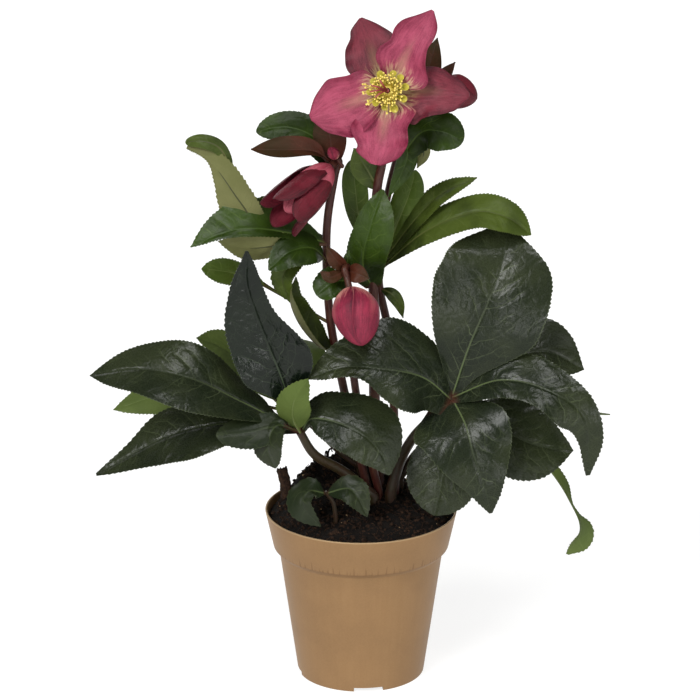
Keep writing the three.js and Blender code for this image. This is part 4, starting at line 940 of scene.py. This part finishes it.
def make_bloom():
    """The open flower: its petals on the receptacle, and what stands inside them."""
    move = placer(BLOOM)
    rng = np.random.default_rng(11)
    piece = Piece()
    for spec, finish in zip(BLOOM_PETALS, BLOOM_FINISHES):
        petal = dict(spec, tooth=0, finish=finish, rib_radius=0, crumple=BLOOM_CRUMPLE)
        add_blade(piece, petal, rng, move)
    add_turned(piece, RECEPTACLE, 32, "receptacle", move)
    piece.build("bloom_petals_fine", "petal", "bloom_petals")
    make_nectaries(move)
    make_stamens(move)
    make_styles(move)


def stand_cup(points, tilt, turn):
    """A nectary's cup, leant outwards by tilt and set down at a turn round the flower."""
    x, y, z = points.T
    out = x * math.cos(tilt) + z * math.sin(tilt) + NECTARY["out"]
    up = z * math.cos(tilt) - x * math.sin(tilt) + FLOWER_FLOOR + NECTARY["up"]
    turned = [out * math.cos(turn) - y * math.sin(turn), out * math.sin(turn) + y * math.cos(turn), up]
    return np.stack(turned, axis=1)


def make_nectaries(move):
    """A ring of small trumpets with a slanting mouth, no two quite alike."""
    rng = np.random.default_rng(14)
    height, sides = NECTARY["height"], NECTARY["sides"]
    piece = Piece()
    add_turned(piece, NECTARY_RING, 32, "nectary", move, FLOWER_FLOOR)
    for i in range(NECTARY_COUNT):
        cup = turned_points(NECTARY_CUP, sides) * rng.uniform(0.9, 1.15)
        cup[:, 2] += rng.uniform(0.3, 0.7) * cup[:, 0] * cup[:, 2] / height
        tilt = math.radians(NECTARY["tilt"] + rng.uniform(-14, 8))
        turn = 2 * math.pi * (i + rng.uniform(-0.2, 0.2)) / NECTARY_COUNT
        faces = grid_faces(len(NECTARY_CUP), sides, wrap=True)
        share = marks_of(cup[:, 2] / height, 0, 0)
        piece.add(move(stand_cup(cup, tilt, turn)), faces, "nectary", cup, share)
    piece.build("bloom_nectaries_fine", "nectary", "bloom_nectaries")


def make_stamens(move):
    """A bunch of stamens that lean out further towards its edge, and a few long ones at one side."""
    rng = np.random.default_rng(5)
    piece = Piece()
    add_turned(piece, STAMEN_CORE, 24, "filament", move, FLOWER_FLOOR)
    for i in range(STAMEN_COUNT + LONG_STAMEN["count"]):
        share = min(1, (i + 0.5) / STAMEN_COUNT)
        length = STAMEN["length"] - STAMEN["shorter"] * share + rng.uniform(-1.5, 1)
        tilt = math.radians(STAMEN["tilt"] + STAMEN["spread"] * share + rng.uniform(-6, 6))
        turn = STAMEN["turn_step"] * i
        if i >= STAMEN_COUNT:
            length = rng.uniform(*LONG_STAMEN["length"])
            tilt = math.radians(rng.uniform(*LONG_STAMEN["tilt"]))
            turn = math.radians(rng.uniform(*LONG_STAMEN["side"]))
        outward = level_way(turn)
        foot = outward * (STAMEN["out"] + STAMEN["further"] * share) + UP * (FLOWER_FLOOR + STAMEN["up"])
        axis = outward * math.sin(tilt) + UP * math.cos(tilt)
        bow = unit(np.cross(axis, rng.normal(size=3))) * rng.uniform(-1, 1)
        steps = np.linspace(0, 1, STAMEN["steps"])[:, None]
        path = foot + axis * length * steps + bow * np.sin(np.pi * steps)
        add_tube(piece, move(path), np.linspace(*STAMEN["radii"], STAMEN["steps"]), "filament", i, 5)
        places = np.linspace(-ANTHER["half"], ANTHER["half"], len(ANTHER["radii"]))[:, None]
        head = path[-1] + places * unit(path[-1] - path[-2])
        add_tube(piece, move(head), ANTHER["radii"], "anther", i, 7)
    piece.build("bloom_stamens_fine", "stamen", "bloom_stamens")


def make_styles(move):
    """The styles, which stand up together and bend over to their tips."""
    piece = Piece()
    add_turned(piece, STYLE_CORE, 16, "style", move, FLOWER_FLOOR)
    for i, (x, y) in enumerate(STYLE_TIPS):
        control = [[out * x, out * y, FLOWER_FLOOR + height] for out, height in STYLE_WAY]
        path = curve_points(control, np.linspace(0, 1, 20))
        add_tube(piece, move(path), np.linspace(*STYLE_RADII, 20), "style", i, 8)
    piece.build("bloom_styles_fine", "style", "bloom_styles")


def add_closed_petals(piece, shape, length, finish, seed):
    """A bud's closed petals: a surface that steps out where an edge lies over the next petal."""
    rows, sides = BUD_ROWS, BUD_PETAL_SIDES * shape["petals"]
    profile = curve_points(BUD_PROFILE, np.linspace(0, 1, rows))
    around = np.linspace(0, 1, sides, endpoint=False)
    within = (around * shape["petals"]) % 1
    fall = np.where(within < BUD_FALL, within / BUD_FALL, (1 - within) / BUD_CLIMB)
    reach = shape["radius"] * np.maximum(profile[:, :1], 0.002) * (1 - BUD_OVERLAP * fall)
    angle = 2 * np.pi * (around + BUD_TWIST * profile[:, 1:])
    height = np.repeat(profile[:, 1:] * length, sides, axis=1)
    points = np.stack([reach * np.cos(angle), reach * np.sin(angle), height], axis=-1).reshape(-1, 3)
    share = marks_of(np.repeat(profile[:, 1], sides), np.tile(2 * within - 1, rows), 0)
    place = marks_of(height.ravel(), np.tile(within * 20, rows), seed)
    piece.add(placer(shape)(points), grid_faces(rows, sides, wrap=True), finish, place, share)


def make_bud(name, shape, closed_finish, loose_finish, seed):
    """A bud of closed petals, with loose ones evenly round them where it has any."""
    rng = np.random.default_rng(seed)
    length = (Vector(shape["tip"]) - Vector(shape["base"])).length
    radius, loose = shape["radius"], shape["loose"]
    piece = Piece()
    add_closed_petals(piece, shape, length * (CLOSED_SHARE if loose else 1), closed_finish, seed)
    for i in range(loose):
        turn = 2 * math.pi * (i + 0.5) / loose
        rib = [level_way(turn) * out * radius + UP * (height * length) for out, height in LOOSE_WAYS]
        petal = dict(LOOSE_PETAL, rib=rib, face=[level_way(turn + LOOSE_TURN)], tooth=0,
                     width=LOOSE_WIDTH * radius, rib_radius=0, finish=loose_finish)
        add_blade(piece, petal, rng, placer(shape))
    piece.build(name + "_fine", "petal", name)


# ---------------------------------------------------------------- pot, peat and what lies on it
def soften(profile, radius):
    """Rounds the corners of a profile of [radius, z] by the given radius."""
    profile = [np.array(corner, float) for corner in profile]
    rounded = [profile[0]]
    for before, corner, after in zip(profile, profile[1:], profile[2:]):
        back, on = before - corner, after - corner
        cut = min(radius, 0.45 * np.linalg.norm(back), 0.45 * np.linalg.norm(on))
        start, end = corner + unit(back) * cut, corner + unit(on) * cut
        for k in range(ROUNDING_STEPS + 1):
            w = k / ROUNDING_STEPS
            rounded.append((1 - w) ** 2 * start + 2 * w * (1 - w) * corner + w**2 * end)
    return rounded + [profile[-1]]


def divide(profile, step):
    """Adds points on a profile, so that none of its spans is longer than step."""
    divided = [profile[0]]
    for start, end in zip(profile, profile[1:]):
        parts = math.ceil(np.linalg.norm(end - start) / step)
        divided.extend(start + (end - start) * (k + 1) / parts for k in range(parts))
    return divided


def lining(margin, floor_z):
    """The pot's profile of [radius, z] from the collar's foot down, drawn in by a margin."""
    steps = [[COLLAR_FOOT["radius"], COLLAR_FOOT["z"]], [BODY_TOP["radius"], BODY_TOP["z"]],
             [FOOT_RADIUS, floor_z]]
    return [[radius - margin, z] for radius, z in steps] + [[0.01, floor_z]]


def make_pot():
    """The pot as a turned wall, with its notches cut out of the foot."""
    outside = lining(0, 0)[::-1] + [[POT_RIM_RADIUS, POT_HEIGHT]]
    inside = [[POT_RIM_RADIUS - POT_WALL, POT_HEIGHT]] + lining(POT_WALL, POT_FLOOR)
    profile = divide(soften(outside + inside, POT_ROUNDING), WALL_STEP)
    piece = Piece()
    piece.add(turned_points(profile, POT_SIDES), grid_faces(len(profile), POT_SIDES, wrap=True), "pot")
    pot = piece.build("pot_fine", "pot_plastic", "pot")
    cutters = []
    for i in range(NOTCH_COUNT):
        angle = math.radians(NOTCH["turn"] + 360 / NOTCH_COUNT * i)
        place = (FOOT_RADIUS * math.sin(angle) * MM, -FOOT_RADIUS * math.cos(angle) * MM, 0)
        bpy.ops.mesh.primitive_cube_add(size=1, location=place, rotation=(0, 0, angle))
        cutter = bpy.context.object
        cutter.scale = (NOTCH["width"] * MM, 2 * NOTCH["depth"] * MM, 2 * NOTCH["height"] * MM)
        cutters.append(cutter)
        cut = pot.modifiers.new("notch", "BOOLEAN")
        cut.object = cutter
        cut.solver = "EXACT"
    bpy.context.view_layer.update()
    graph = bpy.context.evaluated_depsgraph_get()
    cut_mesh = bpy.data.meshes.new_from_object(pot.evaluated_get(graph))
    pot.modifiers.clear()
    pot.data = cut_mesh
    cut_mesh.set_sharp_from_angle(angle=math.radians(POT_SHARP))
    for cutter in cutters:
        bpy.data.objects.remove(cutter)


def soil_edge_radius():
    climb = (SOIL_EDGE_Z - COLLAR_FOOT["z"]) / (POT_HEIGHT - COLLAR_FOOT["z"])
    inner = COLLAR_FOOT["radius"] + climb * (POT_RIM_RADIUS - COLLAR_FOOT["radius"])
    return inner - POT_WALL - SOIL_GAP


def soil_height(x, y):
    """Height of the peat over the pot's foot, as in the part's source."""
    share = min(1, math.hypot(x, y) / soil_edge_radius())
    lumps = math.sin(0.31 * x + 1) * math.cos(0.27 * y) + 0.6 * math.sin(0.53 * y + 0.41 * x)
    height = SOIL_EDGE_Z + SOIL_RISE * (1 - share**2) + SOIL_LUMP * lumps * (1 - share**4)
    for mound in MOUNDS:
        away = math.dist((x, y), mound["centre"]) / mound["spread"]
        height += mound["height"] * math.exp(-0.5 * away**2) * (1 - share**8)
    return height


def hole_top(x, y):
    """How high a stalk stands straight up out of the peat."""
    return soil_height(x, y) + HOLE_RISE


def peat_point(x, y):
    """A point on the rough peat."""
    share = min(1, math.hypot(x, y) / soil_edge_radius())
    scale, height = PEAT_GRAIN["scale"], PEAT_GRAIN["height"]
    rough = noise.fractal(Vector((scale * x, scale * y, 3)), 0.9, 2.2, 5) * height
    return x, y, soil_height(x, y) + rough * (1 - share**8) - PEAT_GRAIN["edge_drop"] * share**8


def random_spot(rng, reach=0.97):
    """A random point on the peat, out to a share of the radius of its edge."""
    radius = soil_edge_radius() * reach * math.sqrt(rng.uniform(0, 1))
    angle = rng.uniform(0, 2 * math.pi)
    return peat_point(radius * math.cos(angle), radius * math.sin(angle))


def lump_corners():
    """The 12 corners of an even lump with 20 sides, neighbours 2 apart."""
    golden = (1 + 5**0.5) / 2
    corners = []
    for a in (-1, 1):
        for b in (-golden, golden):
            corners += [(0, a, b), (a, b, 0), (b, 0, a)]
    return np.array(corners, float)


def lump_faces(corners):
    """Triangles between each three corners that are all neighbours, wound outwards."""
    faces = []
    for i, j, k in itertools.combinations(range(len(corners)), 3):
        first, second, third = corners[[i, j, k]]
        edges = (second - first, third - second, first - third)
        if all(np.linalg.norm(edge) < LUMP_REACH for edge in edges):
            outward = np.dot(np.cross(edges[0], edges[1]), first) > 0
            faces.append((i, j, k) if outward else (i, k, j))
    return faces


def make_soil():
    """The peat's rough top and its smooth sides inside the pot, with crumbs and pale specks on top."""
    rng = np.random.default_rng(21)
    piece = Piece()
    points = []
    for i in range(SOIL_RINGS + 1):
        radius = soil_edge_radius() * max(i, 0.01) / SOIL_RINGS
        for j in range(POT_SIDES):
            angle = 2 * math.pi * j / POT_SIDES
            points.append(peat_point(radius * math.sin(angle), -radius * math.cos(angle)))
    below = lining(POT_WALL + SOIL_GAP, POT_FLOOR + SOIL_GAP)
    points = np.vstack([points, turned_points(below, POT_SIDES)])
    piece.add(points, grid_faces(SOIL_RINGS + 1 + len(below), POT_SIDES, flip=True, wrap=True), "peat")
    corners = lump_corners()
    faces = lump_faces(corners)
    for finish, bits in (("crumb", CRUMBS), ("speck", SPECKS)):
        for _ in range(bits["count"]):
            size = rng.uniform(0.4, 1) ** 2 * bits["size"]
            lump = unit(corners) * rng.uniform(0.75, 1.25, (12, 1)) * rng.uniform(0.5, 1.3, 3) * size
            piece.add(lump + random_spot(rng), faces, finish)
    piece.build("soil_fine", "peat", "soil", sharp=30)


def make_fibres():
    """Fine roots and fibres on the peat, and a few dry ones that stand up at the back."""
    rng = np.random.default_rng(8)
    piece = Piece()
    for i in range(FIBRES["count"]):
        start = np.array(random_spot(rng, 0.85))
        heading = rng.uniform(0, 2 * math.pi)
        path = []
        for k in range(FIBRES["steps"]):
            x, y, _ = start + k * rng.uniform(1, 2.2) * level_way(heading)
            if math.hypot(x, y) > FIBRES["reach"] * soil_edge_radius():
                break
            path.append(peat_point(x, y) + UP * (0.4 + 0.6 * math.sin(k)))
            heading += rng.uniform(-0.7, 0.7)
        if len(path) > 3:
            add_tube(piece, path, np.linspace(*FIBRES["radii"], len(path)), "fibre", i, 5)
    for i in range(ROOTS["count"]):
        foot = np.array(peat_point(rng.uniform(*ROOTS["x"]), rng.uniform(*ROOTS["y"])))
        reach, height = rng.uniform(*ROOTS["reach"]), rng.uniform(*ROOTS["height"])
        side, up = reach * level_way(rng.uniform(0, 2 * math.pi)), height * UP
        control = [foot, foot + 0.3 * side + 0.8 * up, foot + side + up, foot + 1.5 * side + 0.4 * up]
        path = curve_points(control, np.linspace(0, 1, 16))
        add_tube(piece, path, np.linspace(*ROOTS["radii"], 16), "root", i, 6)
    piece.build("soil_fibres", "peat")


def make_stub():
    """The rotten stump of an old stalk: rough, with a ragged broken top."""
    rng = np.random.default_rng(4)
    (x, y), (lean_x, lean_y), rows, sides = STUB["foot"], STUB["lean"], STUB["rows"], STUB["sides"]
    control = [[x, y, HOLE_BOTTOM], [x, y, hole_top(x, y)], [x + lean_x, y + lean_y, STUB["top"] - 1]]
    path = curve_points(control, np.linspace(0, 1, rows))
    points = tube(path, np.linspace(STUB["radius"], 0.8 * STUB["radius"], rows), sides)
    middle = np.repeat(path, sides, axis=0)
    rough = np.array([noise.noise(Vector(point) * 0.5) for point in points])
    points = middle + (points - middle) * (1 + 0.22 * rough[:, None])
    points[-sides:, 2] += rng.uniform(-2.5, 1, sides)
    points = np.vstack([points, np.tile(path[-1] - 3 * UP, (sides, 1))])
    piece = Piece()
    piece.add(points, grid_faces(rows + 1, sides, wrap=True), "bark")
    piece.build("old_stalk_fine", "dry_stalk", "old_stalk", sharp=35)


# ---------------------------------------------------------------- stage
def make_camera():
    data = bpy.data.cameras.new("camera")
    data.lens = CAMERA_LENS
    data.sensor_width = CAMERA_SENSOR
    data.clip_end = 100
    camera = bpy.data.objects.new("camera", data)
    bpy.context.collection.objects.link(camera)
    elevation = math.radians(CAMERA_ELEVATION)
    away = Vector((0, -math.cos(elevation), math.sin(elevation)))
    camera.location = (Vector(CAMERA_AIM) + away * CAMERA_DISTANCE) * MM
    camera.rotation_euler = away.to_track_quat("Z", "Y").to_euler()
    bpy.context.scene.camera = camera


def make_stage():
    bpy.ops.mesh.primitive_plane_add(size=FLOOR_SIZE * MM)
    floor = bpy.context.object
    floor.name = "floor"
    floor.data.materials.append(floor_material())
    world = bpy.data.worlds.new("studio")
    bpy.context.scene.world = world
    world.use_nodes = True
    background = world.node_tree.nodes["Background"]
    background.inputs["Color"].default_value = (1, 1, 1, 1)
    background.inputs["Strength"].default_value = WORLD_STRENGTH
    for i, soft in enumerate(SOFT_LIGHTS):
        data = bpy.data.lights.new(f"soft_light_{i}", "SUN")
        data.angle = math.radians(soft["width"])
        data.energy = soft["strength"]
        light = bpy.data.objects.new(data.name, data)
        bpy.context.collection.objects.link(light)
        light.rotation_euler = Vector(soft["way"]).to_track_quat("Z", "Y").to_euler()
    bpy.context.scene.view_settings.view_transform = "Standard"


# ---------------------------------------------------------------- the scene
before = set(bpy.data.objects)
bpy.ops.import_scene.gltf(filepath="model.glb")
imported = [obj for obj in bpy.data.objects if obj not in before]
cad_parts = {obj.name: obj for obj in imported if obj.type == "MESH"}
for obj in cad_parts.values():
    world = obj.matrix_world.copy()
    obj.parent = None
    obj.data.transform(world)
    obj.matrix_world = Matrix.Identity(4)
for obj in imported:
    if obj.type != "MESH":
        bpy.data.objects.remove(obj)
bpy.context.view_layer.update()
make_camera()
make_stage()
MATERIALS = make_materials()
make_pot()
make_soil()
make_fibres()
make_stub()
for seed, leaf in enumerate(BASAL_LEAVES, 100):
    make_leafy(*leaf, "dark_leaf", "stalk_green", seed)
for seed, stem in enumerate(STEMS, 200):
    make_leafy(*stem, "stem_leaf", "stalk_red", seed)
make_bloom()
make_bud("bud_left", BUD_LEFT, "bud_inner", "bud_dark", 31)
make_bud("bud_centre", BUD_CENTRE, "bud", "bud", 32)
make_bud("bud_right", BUD_RIGHT, "bud_dark", "bud_dark", 33)
make_bud("bud_small", BUD_SMALL, "bud", "bud", 34)
